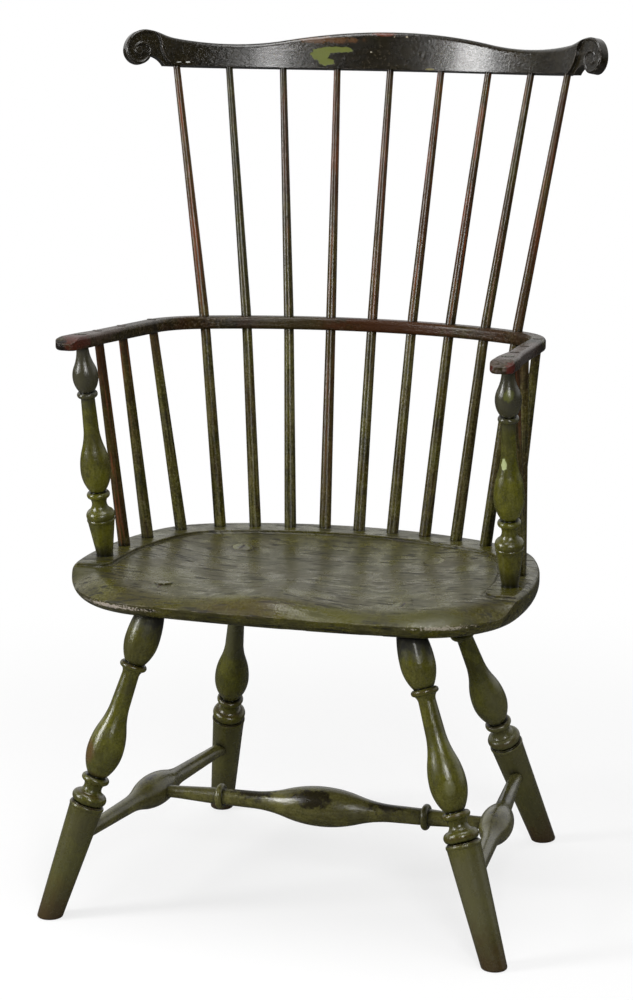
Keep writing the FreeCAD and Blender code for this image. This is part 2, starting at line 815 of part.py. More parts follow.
def side_stretcher(name, side):
    fore = leg_point("front", side, size("stretcher_front_rise"))
    aft = leg_point("rear", side, size("stretcher_rear_rise"))
    along = (aft - fore).normalize()
    start = fore + along * size("stretcher_stop")
    end = aft - along * size("stretcher_stop")
    half = number((end - start).Length / 2)
    bulb_half = cell("stretcher_bulb_length") * 0.5
    taper = half - bulb_half - cell("stretcher_plain")
    profile = TurnedProfile(cell("stretcher_end_radius"), zero)
    profile.line(cell("stretcher_end_radius"), cell("stretcher_plain"))
    profile.line(cell("stretcher_neck_radius"), taper)
    profile.ogee(cell("stretcher_bulb_radius"), bulb_half, 0.5, -1)
    profile.ogee(cell("stretcher_neck_radius"), bulb_half, 0.5, 1)
    profile.line(cell("stretcher_end_radius"), taper)
    profile.line(cell("stretcher_end_radius"), cell("stretcher_plain"))
    body = turned_body(name + "_turning", profile)
    body.Placement = aim(start, end)
    gap = along * size("socket_end_gap")
    radius = f"sizes.stretcher_end_radius + {clear}"
    reach = along * size("stretcher_plain")
    fore_socket = rod(name + "_fore_socket", start - gap, start + reach, radius)
    aft_socket = rod(name + "_aft_socket", end + gap, end - reach, radius)
    return {"body": body, "middle": (start + end) * 0.5, "front": fore_socket, "rear": aft_socket}


stretchers = {side_name: side_stretcher(f"{side_name}_stretcher", side) for side_name, side in sides.items()}
for pair in ("front", "rear"):
    for side_name in sides:
        socket = stretchers[side_name][pair]
        label = f"{pair}_{side_name}_leg"
        finish(cut(label, leg_features[pair, side_name], socket), label)

medial_start = stretchers["left"]["middle"] + Vector(size("medial_stop"), 0, 0)
medial_end = stretchers["right"]["middle"] - Vector(size("medial_stop"), 0, 0)
medial_half = number((medial_end - medial_start).Length / 2)
ring_half = cell("medial_ring_width") * 0.5
ring_depth = cell("medial_ring_radius") - cell("medial_ring_base_radius")
outer_rod = medial_half - cell("medial_plain") - cell("medial_ring_offset") - ring_half
swell = cell("medial_ring_offset") - ring_half - cell("medial_neck_length")
profile = TurnedProfile(cell("medial_end_radius"), zero)
profile.line(cell("medial_end_radius"), cell("medial_plain"))
profile.line(cell("medial_rod_radius"), outer_rod)
profile.line(cell("medial_ring_base_radius"), zero)
profile.bulge(cell("medial_ring_base_radius"), cell("medial_ring_width"), ring_depth, 1)
profile.line(cell("medial_neck_radius"), zero)
profile.line(cell("medial_neck_base_radius"), cell("medial_neck_length"))
profile.ogee(cell("medial_bulb_radius"), swell, 0.5, -1)
profile.ogee(cell("medial_neck_base_radius"), swell, 0.5, 1)
profile.line(cell("medial_neck_radius"), cell("medial_neck_length"))
profile.line(cell("medial_ring_base_radius"), zero)
profile.bulge(cell("medial_ring_base_radius"), cell("medial_ring_width"), ring_depth, 1)
profile.line(cell("medial_rod_radius"), zero)
profile.line(cell("medial_end_radius"), outer_rod)
profile.line(cell("medial_end_radius"), cell("medial_plain"))
medial = turned_body("medial_turning", profile)
medial.Placement = aim(medial_start, medial_end)
finish(medial, "medial_stretcher")
for side_name, side in sides.items():
    end = medial_end if side > 0 else medial_start
    outward = Vector(side, 0, 0)
    socket = rod(f"{side_name}_medial_socket", end + outward * size("socket_end_gap"),
                 end - outward * size("medial_plain"), f"sizes.medial_end_radius + {clear}")
    label = f"{side_name}_stretcher"
    finish(cut(label, stretchers[side_name]["body"], socket), label)


# Arm rail: a bent U, flat in its own plane, which rises a little towards the hands
rail_frame = Placement(place(0, size("rail_back"), size("rail_height")),
                       Rotation(Vector(1, 0, 0), -size("rail_rise")))
rail_flare = math.radians(size("rail_flare"))
arm_forward = Vector(math.sin(rail_flare), -math.cos(rail_flare), 0)
arm_outward = Vector(math.cos(rail_flare), math.sin(rail_flare), 0)
rail_centre = Vector(0, -size("rail_back_radius"), 0)


def rail_depth(y):
    """Depth in the chair to depth in the rail's own plane."""
    return (y - size("rail_back")) / math.cos(math.radians(size("rail_rise")))


post_seat = Vector(size("rail_half_span"), rail_depth(-size("post_top_fore")), 0)
corner_radius = size("rail_corner_radius")
corner_reach = size("rail_back_radius") - corner_radius
from_centre = post_seat - arm_outward * corner_radius - rail_centre
run = from_centre.dot(arm_forward)
arm_run = run + math.sqrt(run ** 2 - from_centre.Length ** 2 + corner_reach ** 2)
corner_centre = post_seat - arm_outward * corner_radius - arm_forward * arm_run
bend_start = post_seat - arm_forward * arm_run
bend_line = (corner_centre - rail_centre).normalize()
bend_middle = (arm_outward + bend_line).normalize()


def arm_point(y):
    """Point on the middle line of the right arm, or of the bend behind it, at a depth in the chair."""
    depth = rail_depth(y)
    if depth > bend_start.y:
        across = math.sqrt(corner_radius ** 2 - (depth - corner_centre.y) ** 2)
        return Vector(corner_centre.x + across, depth, 0)
    return post_seat + arm_forward * ((depth - post_seat.y) / arm_forward.y)


def rail_back_point(angle):
    """Point on the rail's middle line behind the sitter, at an angle about the middle of the back's curve."""
    turn = math.radians(angle)
    ray = Vector(math.sin(turn), math.cos(turn), 0)
    if abs(turn) <= math.atan2(bend_line.x, bend_line.y):
        return rail_centre + ray * size("rail_back_radius")
    corner = mirrored(corner_centre, math.copysign(1, turn)) - rail_centre
    along = corner.dot(ray)
    return rail_centre + ray * (along + math.sqrt(along ** 2 - corner.Length ** 2 + corner_radius ** 2))


def rounded_chain(points, radii):
    """Straight runs with an arc of its own radius at each inner point."""
    pieces = []
    start = points[0]
    for index in range(1, len(points) - 1):
        corner = points[index]
        back = (points[index - 1] - corner).normalize()
        ahead = (points[index + 1] - corner).normalize()
        half_angle = math.acos(max(-1.0, min(1.0, back.dot(ahead)))) / 2
        trim = radii[index - 1] / math.tan(half_angle)
        enter = corner + back * trim
        leave = corner + ahead * trim
        centre = corner + (back + ahead).normalize() * (radii[index - 1] / math.sin(half_angle))
        middle = centre + (corner - centre).normalize() * radii[index - 1]
        pieces.append((start, enter))
        pieces.append((enter, middle, leave))
        start = leave
    pieces.append((start, points[-1]))
    return pieces


def rail_bend(side, offset):
    """Corner arc of one side from the arm to the back, moved out by offset."""
    start = mirrored(bend_start + arm_outward * offset, side)
    middle = mirrored(corner_centre + bend_middle * (corner_radius + offset), side)
    end = mirrored(corner_centre + bend_line * (corner_radius + offset), side)
    return start, middle, end


def rail_body():
    body = doc.addObject("PartDesign::Body", "arm_rail_blank")
    sketch = new_sketch(body, "arm_rail_plan", "XY_Plane")
    half = size("rail_width") / 2
    wide = half + size("hand_extra_width")
    tip = size("hand_overhang")
    heel = tip - size("hand_length")
    root = heel - size("hand_taper")
    blend = size("hand_taper")
    outer = {side: rail_bend(side, half) for side in (1, -1)}
    inner = {side: rail_bend(side, -half) for side in (1, -1)}

    def hand(side):
        stations = [(root, half), (heel, wide), (tip, wide), (tip, -wide), (heel, -wide), (root, -half)]
        corners = [mirrored(post_seat + arm_forward * along + arm_outward * across, side)
                   for along, across in stations]
        corner = size("hand_corner")
        chain = [outer[side][0]] + corners + [inner[side][0]]
        radii = [blend, blend, corner, corner, blend, blend]
        if side > 0:
            return rounded_chain(chain[::-1], radii[::-1])
        return rounded_chain(chain, radii)

    back_outer = rail_centre + Vector(0, size("rail_back_radius") + half, 0)
    back_inner = rail_centre + Vector(0, size("rail_back_radius") - half, 0)
    pieces = hand(1)
    first_arc = len(pieces)
    pieces += [outer[1], (outer[1][2], back_outer, outer[-1][2]), outer[-1][::-1]]
    pieces += hand(-1)
    second_arc = len(pieces)
    pieces += [inner[-1], (inner[-1][2], back_inner, inner[1][2]), inner[1][::-1]]
    draw_chain(sketch, pieces)
    half_cell = cell("rail_width") * 0.5
    for index, radius in ((first_arc, cell("rail_corner_radius") + half_cell),
                          (first_arc + 1, cell("rail_back_radius") + half_cell),
                          (first_arc + 2, cell("rail_corner_radius") + half_cell),
                          (second_arc, cell("rail_corner_radius") - half_cell),
                          (second_arc + 1, cell("rail_back_radius") - half_cell),
                          (second_arc + 2, cell("rail_corner_radius") - half_cell)):
        bind(sketch, "Radius", (index,), radius)
    pad = body.newObject("PartDesign::Pad", "arm_rail_bar")
    pad.Profile = sketch
    pad.setExpression("Length", "sizes.rail_thickness")
    doc.recompute()
    caps = [f"Face{index}" for index, face in enumerate(pad.Shape.Faces, start=1)
            if abs(face.normalAt(0, 0).z) > 0.99]
    rounding = body.newObject("PartDesign::Fillet", "arm_rail_rounding")
    rounding.Base = (pad, caps)
    rounding.setExpression("Radius", "sizes.rail_round")
    body.Tip = rounding
    body.Placement = rail_frame
    return body


def rail_world(point, height):
    return rail_frame.multVec(Vector(point.x, point.y, height))


above_rail = box("above_rail", Vector(), 2 * far_reach, 2 * far_reach, far_reach)
above_rail.Placement = rail_frame.multiply(
    Placement(Vector(-far_reach, -far_reach, size("rail_thickness") + size("tenon_proud")), Rotation()))
arm_wedges = []


def hand_roll(name, side):
    """Space over the tip of a hand, whose top rolls down to its end."""
    drop = size("hand_roll_drop")
    width = size("rail_width")
    radius = (size("hand_roll_length") ** 2 + drop ** 2) / (2 * drop)
    start = post_seat + arm_forward * (size("hand_overhang") - size("hand_roll_length"))
    middle = size("rail_thickness") + size("hand_roll_lift") - radius
    left = rail_world(mirrored(start - arm_outward * width * 2, side), middle)
    right = rail_world(mirrored(start + arm_outward * width * 2, side), middle)
    barrel = rod(name + "_barrel", left, right,
                 "(sizes.hand_roll_length ^ 2 + sizes.hand_roll_drop ^ 2) / (2 * sizes.hand_roll_drop)")
    block = box(name + "_block", Vector(), width * 2, size("hand_roll_length") * 2, drop * 3)
    turned = Rotation(Vector(0, 1, 0), mirrored(arm_forward, side))
    corner = Vector(-width, 0, size("rail_thickness") - drop * 2)
    block.Placement = rail_frame.multiply(Placement(mirrored(start, side), turned)).multiply(
        Placement(corner, Rotation()))
    return cut(name, block, barrel)


rail_tools = [hand_roll(side_name + "_hand_roll", side) for side_name, side in sides.items()]


def through_tenon(name, feature, low, high):
    """Level a tenon above the arm rail, and drive a wedge into its end."""
    axis = (high - low).normalize()
    slot = wedge(name + "_wedge_slot", clear, "arm")
    key = wedge(name + "_wedge_blank", "0", "arm")
    for solid in (slot, key):
        stand_wedge(solid, high, axis, Vector(1, 0, 0))
    arm_wedges.append(cut(name + "_wedge", key, above_rail))
    return finish(cut(name, feature, above_rail, slot), name)


# Arm posts
def post_body(name, base, top):
    elements = ["post_cone", "post_band_height", "post_skirt_height", "post_spool_height", "post_ring_height",
                "post_bulb_lower", "post_baluster", "post_collar_height", "post_vase_lower"]
    vase_upper = number((top - base).Length)
    for element in elements:
        vase_upper = vase_upper - cell(element)
    profile = TurnedProfile(cell("post_foot_radius"), zero - cell("post_tenon_length"))
    profile.line(cell("post_foot_radius"), cell("post_tenon_length") + cell("deck_lap"))
    profile.line(cell("post_cone_radius"), cell("post_cone") - cell("deck_lap"))
    profile.bulge(cell("post_cone_radius"), cell("post_band_height"), cell("post_band_height") * 0.2, 1)
    skirt_depth = cell("post_skirt_radius") - cell("post_cone_radius")
    profile.bulge(cell("post_skirt_top_radius"), cell("post_skirt_height"), skirt_depth, 1)
    profile.bulge(cell("post_ring_base_radius"), cell("post_spool_height"), cell("post_spool_depth"), -1)
    ring_depth = cell("post_ring_radius") - cell("post_ring_base_radius")
    profile.bulge(cell("post_ring_base_radius"), cell("post_ring_height"), ring_depth, 1)
    profile.line(cell("post_bulb_bottom_radius"), zero)
    profile.quarter(cell("post_bulb_radius"), cell("post_bulb_lower"), 1)
    profile.ogee(cell("post_neck_base_radius"), cell("post_baluster") - cell("post_neck_length"), 0.48, 1)
    profile.line(cell("post_neck_radius"), cell("post_neck_length"))
    profile.line(cell("post_collar_base_radius"), zero)
    collar_depth = cell("post_collar_radius") - cell("post_collar_base_radius")
    profile.bulge(cell("post_collar_base_radius"), cell("post_collar_height"), collar_depth, 1)
    profile.line(cell("post_vase_bottom_radius"), zero)
    profile.quarter(cell("post_vase_radius"), cell("post_vase_lower"), 1)
    profile.ogee(cell("post_top_radius"), vase_upper, 0.36, 1)
    profile.line(cell("post_top_radius"), cell("rail_thickness") * 1.5)
    body = turned_body(name + "_turning", profile)
    body.Placement = aim(base, top)
    return body


for side_name, side in sides.items():
    name = f"{side_name}_arm_post"
    deck = deck_side_point(size("post_inset"), -size("post_base_fore"))
    base = mirrored(place(deck.x, deck.y, size("seat_height")), side)
    top = mirrored(rail_world(post_seat, 0.0), side)
    axis = (top - base).normalize()
    body = post_body(name, base, top)
    crown = mirrored(rail_world(post_seat, size("rail_thickness")), side)
    crown = top + axis * ((crown - top).Length + size("tenon_proud"))
    through_tenon(name, body, top, crown)
    bottom = base - axis * (size("post_tenon_length") + size("socket_end_gap"))
    seat_tools.append(rod(name + "_seat_socket", bottom, base + axis * size("post_cone"),
                          f"sizes.post_foot_radius + {clear}"))
    rail_tools.append(rod(name + "_rail_socket", top - axis * size("rail_thickness"),
                          top + axis * (3 * size("rail_thickness")), f"sizes.post_top_radius + {clear}"))


# Spindles: shaved rods, straight where they pass through seat, rail and comb, and tapered between
def ring(name, point, axis, radius_text):
    circle = doc.addObject("Part::Circle", name)
    circle.setExpression("Radius", radius_text)
    circle.Placement = Placement(point, Rotation(Vector(0, 0, 1), axis))
    return circle


def spindle_loft(name, sections):
    loft = doc.addObject("Part::Loft", name)
    loft.Sections = [ring(f"{name}_section_{index}", *section)
                     for index, section in enumerate(sections, start=1)]
    loft.Solid = True
    loft.Ruled = True
    return loft


seat_radius = "sizes.spindle_seat_radius"
seat_margin = size("spindle_margin")
seat_depth = size("spindle_seat_depth")
half_rail = size("rail_thickness") / 2


def seat_socket(name, base, axis):
    end = base - axis * (seat_depth + size("socket_end_gap"))
    return rod(name + "_seat_socket", end, base + axis * (3 * seat_margin), f"{seat_radius} + {clear}")


short_spindles = [
    ("front", -size("short_front_base_fore"), -size("short_front_top_fore")),
    ("middle", -size("short_middle_base_fore"), -size("short_middle_top_fore")),
    ("rear", size("short_rear_base_aft"), size("short_rear_top_aft")),
]
for side_name, side in sides.items():
    for position, base_y, top_y in short_spindles:
        name = f"{side_name}_{position}_short_spindle"
        deck = deck_side_point(size("side_spindle_inset"), base_y)
        base = mirrored(place(deck.x, deck.y, size("seat_height")), side)
        low = mirrored(rail_world(arm_point(top_y), 0.0), side)
        high = mirrored(rail_world(arm_point(top_y), size("rail_thickness") + size("tenon_proud")), side)
        axis = (low - base).normalize()
        top_text = "sizes.short_spindle_top_radius"
        loft = spindle_loft(name + "_rod", [
            (base - axis * seat_depth, axis, seat_radius),
            (base + axis * seat_margin, axis, seat_radius),
            (low - axis * seat_margin, axis, top_text),
            (low + axis * (2 * size("rail_thickness")), axis, top_text),
        ])
        through_tenon(name, loft, base, low + axis * (high - low).Length)
        seat_tools.append(seat_socket(name, base, axis))
        rail_tools.append(rod(name + "_rail_socket", low - axis * seat_margin,
                              low + axis * (3 * size("rail_thickness")), f"{top_text} + {clear}"))


# Comb: bent board that leans back, in its own plane
comb_frame = Placement(place(0, size("comb_back"), size("comb_bottom")),
                       Rotation(Vector(1, 0, 0), -size("comb_lean")))
comb_radius = size("comb_radius")
comb_bend = math.radians(size("comb_bend"))
comb_end = comb_radius * math.sin(comb_bend)
bottom_radius = (comb_end ** 2 + size("comb_end_drop") ** 2) / (2 * size("comb_end_drop"))


def comb_point(angle):
    """Point on the comb's bottom edge, at the middle of its thickness."""
    turn = math.radians(angle)
    x = comb_radius * math.sin(turn)
    drop = bottom_radius - math.sqrt(bottom_radius ** 2 - x ** 2)
    return comb_frame.multVec(Vector(x, comb_radius * (math.cos(turn) - 1), -drop))


def comb_outward(angle):
    turn = math.radians(angle)
    return comb_frame.Rotation.multVec(Vector(math.sin(turn), math.cos(turn), 0))


long_positions = ["far_left", "outer_left", "middle_left", "inner_left", "centre",
                  "inner_right", "middle_right", "outer_right", "far_right"]
pinned = ("far_left", "centre", "far_right")
comb_tools = []
comb_pins = []
pin_holes = []
rail_text = "sizes.spindle_rail_radius"
comb_text = "sizes.spindle_comb_radius"
for index, position in enumerate(long_positions):
    name = f"{position}_long_spindle"
    step = index - len(long_positions) // 2
    deck = deck_back_point(step * size("spindle_seat_angle"))
    base = place(deck.x, deck.y, size("seat_height"))
    middle = rail_world(rail_back_point(step * size("spindle_rail_angle")), half_rail)
    crown = comb_point(step * size("spindle_comb_angle"))
    lower = (middle - base).normalize()
    upper = (crown - middle).normalize()
    axis = (lower + upper).normalize()
    reach = half_rail + seat_margin
    loft = spindle_loft(name + "_rod", [
        (base - lower * seat_depth, lower, seat_radius),
        (base + lower * seat_margin, lower, seat_radius),
        (middle - axis * reach, axis, rail_text),
        (middle + axis * reach, axis, rail_text),
        (crown - upper * seat_margin, upper, comb_text),
        (crown + upper * size("spindle_comb_depth"), upper, comb_text),
    ])
    seat_tools.append(seat_socket(name, base, lower))
    rail_tools.append(rod(name + "_rail_socket", middle - axis * reach, middle + axis * reach,
                          f"{rail_text} + {clear}"))
    comb_tools.append(rod(name + "_comb_socket", crown - upper * seat_margin,
                          crown + upper * (size("spindle_comb_depth") + size("socket_end_gap")),
                          f"{comb_text} + {clear}"))
    if position in pinned:
        outward = comb_outward(step * size("spindle_comb_angle"))
        mouth = crown + upper * size("comb_pin_rise") + outward * (size("comb_thickness") / 2)
        tip = mouth - outward * size("comb_pin_length")
        comb_pins.append(rod(name + "_pin", tip, mouth, "sizes.comb_pin_radius"))
        pin_hole = rod(name + "_pin_hole", tip - outward * size("socket_end_gap"),
                       mouth + outward * seat_margin, f"sizes.comb_pin_radius + {clear}")
        pin_holes.append(pin_hole)
        loft = cut(name + "_drilled", loft, pin_hole)
    finish(loft, name)


def comb_band():
    """Bent board between the ears, taller than the finished comb."""
    body = doc.addObject("PartDesign::Body", "comb_band")
    sketch = new_sketch(body, "comb_plan", "XY_Plane")
    half = size("comb_thickness") / 2

    def at(radius, turn):
        return Vector(math.sin(turn) * radius, math.cos(turn) * radius - comb_radius, 0)

    outer = [at(comb_radius + half, turn) for turn in (comb_bend, 0, -comb_bend)]
    inner = [at(comb_radius - half, turn) for turn in (-comb_bend, 0, comb_bend)]
    draw_chain(sketch, [outer, (outer[2], inner[0]), inner, (inner[2], outer[0])])
    half_cell = cell("comb_thickness") * 0.5
    bind(sketch, "Radius", (0,), cell("comb_radius") + half_cell)
    bind(sketch, "Radius", (2,), cell("comb_radius") - half_cell)
    pad = body.newObject("PartDesign::Pad", "comb_board")
    pad.Profile = sketch
    pad.setExpression("Length", "sizes.comb_peak + sizes.comb_end_drop + 2 * sizes.comb_thickness")
    body.Tip = pad
    below = size("comb_end_drop") + size("comb_thickness")
    body.Placement = comb_frame.multiply(Placement(Vector(0, 0, -below), Rotation()))
    return body


comb_fall = size("comb_peak") - size("comb_dip")
comb_sweep = (size("comb_dip_offset") ** 2 + comb_fall ** 2) / (2 * comb_fall)


def comb_top(x):
    """Height of the comb's top edge beyond its lowest place."""
    trough = comb_sweep * (1 - size("comb_peak_share"))
    return size("comb_dip") + trough - math.sqrt(trough ** 2 - (x - size("comb_dip_offset")) ** 2)


def comb_face():
    """Serpentine top and hollow bottom of the comb, seen from the front."""
    body = doc.addObject("PartDesign::Body", "comb_face")
    sketch = new_sketch(body, "comb_outline", "XZ_Plane")
    reach = (comb_radius + size("comb_thickness")) * math.sin(comb_bend)
    share = size("comb_peak_share")
    low = Vector(reach, math.sqrt(bottom_radius ** 2 - reach ** 2) - bottom_radius, 0)
    high = Vector(reach, comb_top(reach), 0)
    turn = Vector(size("comb_dip_offset") * share, size("comb_peak") - comb_fall * share, 0)
    trough = comb_sweep * (1 - share)
    draw_chain(sketch, [
        (mirrored(low, -1), Vector(0, 0, 0), low),
        (low, high),
        arc_between(high, turn, trough, -1),
        (turn, Vector(0, size("comb_peak"), 0), mirrored(turn, -1)),
        arc_between(mirrored(turn, -1), mirrored(high, -1), trough, -1),
        (mirrored(high, -1), mirrored(low, -1)),
    ])
    pad = body.newObject("PartDesign::Pad", "comb_face_depth")
    pad.Profile = sketch
    pad.setExpression("Length", "sizes.comb_radius")
    body.Tip = pad
    body.Placement = comb_frame.multiply(Placement(Vector(0, 2 * size("comb_thickness"), 0), Rotation()))
    return body


# Scrolled ear, on the straight end of the comb: u runs outwards, h runs up
ear_origin = Vector(comb_end, comb_radius * (math.cos(comb_bend) - 1), 0)
ear_along = Vector(math.cos(comb_bend), -math.sin(comb_bend), 0)
ear_front = Vector(-math.sin(comb_bend), -math.cos(comb_bend), 0)
ear_turn = Rotation(ear_along, Vector(0, 0, 1), ear_front, "XYZ")
ear_back = -size("comb_thickness") / 2
ear_face = ear_back + size("ear_thickness")


def ear_placement(depth):
    return comb_frame.multiply(Placement(ear_origin + ear_front * depth, ear_turn))


def ear_pad(name, pieces, depth, length_text):
    body = doc.addObject("PartDesign::Body", name)
    sketch = new_sketch(body, name + "_outline", "XY_Plane")
    draw_chain(sketch, pieces)
    pad = body.newObject("PartDesign::Pad", name + "_depth")
    pad.Profile = sketch
    pad.setExpression("Length", length_text)
    body.Tip = pad
    body.Placement = ear_placement(depth)
    return body


def polar(centre, radius, degrees):
    turn = math.radians(degrees)
    return centre + Vector(math.cos(turn), math.sin(turn), 0) * radius


def ear_arc(centre, radius, start, end):
    """Arc given by its angles in degrees."""
    middle = (start + end) / 2
    return polar(centre, radius, start), polar(centre, radius, middle), polar(centre, radius, end)


def ear_right():
    rise = size("ear_rise")
    reach = size("ear_reach")
    drop = -size("ear_centre_drop")
    crown = Vector(reach, drop, 0)
    crown_radius = rise - drop
    lobe_radius = size("ear_lobe_radius")
    lobe = Vector(reach + crown_radius - lobe_radius, drop, 0)
    root_top = Vector(0, comb_top(comb_end), 0)
    root_low = Vector(0, -size("comb_end_drop"), 0)
    summit = Vector(reach, rise, 0)
    climb = rise - root_top.y
    sweep = (reach ** 2 + climb ** 2) / (4 * climb)
    half_way = (root_top + summit) * 0.5
    notch = polar(lobe, lobe_radius, 180 + size("ear_notch_angle"))
    corner = Vector(size("ear_corner_reach"), -size("ear_corner_drop"), 0)
    neck = size("ear_neck_bulge")
    neck_radius = (((corner - notch).Length / 2) ** 2 + neck ** 2) / (2 * neck)
    board = ear_pad("ear_board", [
        arc_between(root_top, half_way, sweep, 1),
        arc_between(half_way, summit, sweep, -1),
        ear_arc(crown, crown_radius, 90, 0),
        ear_arc(lobe, lobe_radius, 0, size("ear_notch_angle") - 180),
        arc_between(notch, corner, neck_radius, 1),
        (corner, root_low),
        (root_low, root_top),
    ], ear_back, "sizes.comb_thickness")
    into_ear = ear_placement(ear_back).inverse()

    def on_top_front(point):
        local = into_ear.multVec(point)
        margin = size("fit_clearance")
        near_front = local.z > size("ear_thickness")
        return near_front and local.y > root_top.y - margin and local.x < reach + margin

    board = rounded("ear_board_rounded", board, "comb_round", on_top_front)
    # The scroll lies lower than the board; a curved step parts them
    step_low = Vector(size("ear_step_bottom"), -size("ear_corner_drop"), 0)
    step_high = Vector(size("ear_step_top"), rise, 0)
    step_turn = Vector(size("ear_step_middle"), size("ear_step_middle_rise"), 0)
    step = size("ear_step_bulge")
    low_radius = (((step_turn - step_low).Length / 2) ** 2 + step ** 2) / (2 * step)
    high_radius = (((step_high - step_turn).Length / 2) ** 2 + step ** 2) / (2 * step)
    outside = 3 * reach
    far_corner = [Vector(step_high.x, outside, 0), Vector(outside, outside, 0),
                  Vector(outside, -outside, 0), Vector(step_low.x, -outside, 0)]
    relief = ear_pad("ear_relief", [
        arc_between(step_low, step_turn, low_radius, 1),
        arc_between(step_turn, step_high, high_radius, -1),
        (step_high, far_corner[0]),
        (far_corner[0], far_corner[1]),
        (far_corner[1], far_corner[2]),
        (far_corner[2], far_corner[3]),
        (far_corner[3], step_low),
    ], ear_face, "sizes.comb_thickness")
    carved = cut("ear_carved", board, relief)
    # Raised bead that winds in to the eye
    bead = size("scroll_bead_radius")
    inset = size("scroll_bead_inset")
    first_radius = crown_radius - inset
    second_radius = lobe_radius - inset
    third_radius = size("scroll_inner_radius")
    third = lobe + Vector(third_radius - second_radius, 0, 0)
    eye_radius = size("scroll_eye_radius")
    fourth_radius = eye_radius + bead / 2
    fourth = third + Vector(third_radius - fourth_radius, 0, 0)
    lead_end = polar(crown, first_radius, 90)
    lead_start = lead_end - Vector(bead * 3, 0, 0)
    turns = [
        ear_arc(crown, first_radius, 90, 0),
        ear_arc(lobe, second_radius, 0, -180),
        ear_arc(third, third_radius, 180, 0),
        ear_arc(fourth, fourth_radius, 0, -180),
    ]
    lead = Part.LineSegment(lead_start, lead_end).toShape()
    spine = Part.Wire([lead] + [Part.Arc(*turn).toShape() for turn in turns])
    section = Part.Wire([Part.Circle(lead_start, Vector(1, 0, 0), bead).toShape()])
    scroll = doc.addObject("Part::Feature", "ear_scroll_bead")
    scroll.Shape = spine.makePipeShell([section], True, False)
    scroll.Placement = ear_placement(ear_face)
    eye = doc.addObject("Part::Cylinder", "ear_scroll_eye")
    eye.setExpression("Radius", "sizes.scroll_eye_radius")
    eye.setExpression("Height", "2 * sizes.scroll_bead_radius")
    eye.Placement = ear_placement(ear_face).multiply(Placement(fourth - Vector(0, 0, bead), Rotation()))
    ear = doc.addObject("Part::MultiFuse", "ear_right")
    ear.Shapes = [carved, scroll, eye]
    return ear


right_ear = ear_right()
left_ear = doc.addObject("Part::Mirroring", "ear_left")
left_ear.Source = right_ear
left_ear.Normal = Vector(1, 0, 0)
board = doc.addObject("Part::Common", "comb_sawn")
board.Base = comb_band()
board.Tool = comb_face()
into_comb = comb_frame.inverse()


def on_comb_top_front(point):
    local = into_comb.multVec(point)
    return local.z > 0 and math.hypot(local.x, local.y + comb_radius) < comb_radius


board = rounded("comb_board_rounded", board, "comb_round", on_comb_top_front)
comb_blank = doc.addObject("Part::MultiFuse", "comb_blank")
comb_blank.Shapes = [board, left_ear, right_ear]
finish(cut("comb", comb_blank, group("comb_sockets", comb_tools), group("comb_pin_holes", pin_holes)), "comb")

# Pieces that the others are let into
finish(cut("arm_rail", rail_body(), group("rail_sockets", rail_tools)), "arm_rail")
seat_holes = (group("leg_sockets", leg_sockets), group("seat_sockets", seat_tools))
finish(cut("seat", seat_blank(), saddle, gutter_groove(), *seat_holes), "seat")
finish(group("leg_wedges", leg_wedges), "leg_wedges")
finish(group("arm_wedges", arm_wedges), "arm_wedges")
finish(group("comb_pins", comb_pins), "comb_pins")

doc.recompute()
for item in doc.Objects:
    if "Invalid" in item.State or "Error" in item.State:
        raise RuntimeError("not built: " + item.Label)
os.makedirs("parts", exist_ok=True)
for feature in sub_parts:
    if feature.Shape.isNull() or not feature.Shape.isValid():
        raise RuntimeError("bad shape: " + feature.Label)
    feature.Shape.exportStep(f"parts/{feature.Label}.step")
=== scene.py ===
import bpy
import bmesh
import math
from mathutils import Euler, Matrix, Vector


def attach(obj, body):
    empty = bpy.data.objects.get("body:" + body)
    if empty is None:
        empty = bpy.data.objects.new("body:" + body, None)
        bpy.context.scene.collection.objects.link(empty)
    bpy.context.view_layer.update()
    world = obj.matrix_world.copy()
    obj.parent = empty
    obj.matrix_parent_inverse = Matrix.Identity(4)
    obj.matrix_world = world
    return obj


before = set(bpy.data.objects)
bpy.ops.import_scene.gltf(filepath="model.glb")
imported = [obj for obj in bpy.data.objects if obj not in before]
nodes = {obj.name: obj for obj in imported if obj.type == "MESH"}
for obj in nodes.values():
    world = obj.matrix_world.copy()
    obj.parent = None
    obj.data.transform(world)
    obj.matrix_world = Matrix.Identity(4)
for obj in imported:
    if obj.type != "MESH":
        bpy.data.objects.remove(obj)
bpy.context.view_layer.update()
scene = bpy.context.scene
print("frame:", len(nodes), "nodes")

# camera at the photograph's viewing angle
view = {"lens": 106.563, "sensor": 36, "place": (1.1593, -3.5705, 1.3489), "pitch": 12.58, "yaw": 18.28,
        "roll": -0.18}
camera = bpy.data.objects.new("camera", bpy.data.cameras.new("camera"))
camera.data.lens = view["lens"]
camera.data.sensor_width = view["sensor"]
camera.location = view["place"]
aim = Euler((math.radians(90 - view["pitch"]), 0, math.radians(view["yaw"]))).to_matrix()
camera.rotation_euler = (aim @ Matrix.Rotation(math.radians(view["roll"]), 3, "Z")).to_euler()
scene.collection.objects.link(camera)
scene.camera = camera
scene.view_settings.view_transform = "Standard"


# small helpers for node trees
def feed(tree, socket, value):
    if isinstance(value, bpy.types.NodeSocket):
        tree.links.new(value, socket)
    else:
        socket.default_value = value


def put(tree, kind, settings=None, **inputs):
    made = tree.nodes.new(kind)
    for key, value in (settings or {}).items():
        setattr(made, key, value)
    for key, value in inputs.items():
        feed(tree, made.inputs[key], value)
    return made


def calc(tree, operation, first, second):
    made = put(tree, "ShaderNodeMath", {"operation": operation})
    feed(tree, made.inputs[0], first)
    feed(tree, made.inputs[1], second)
    return made.outputs[0]


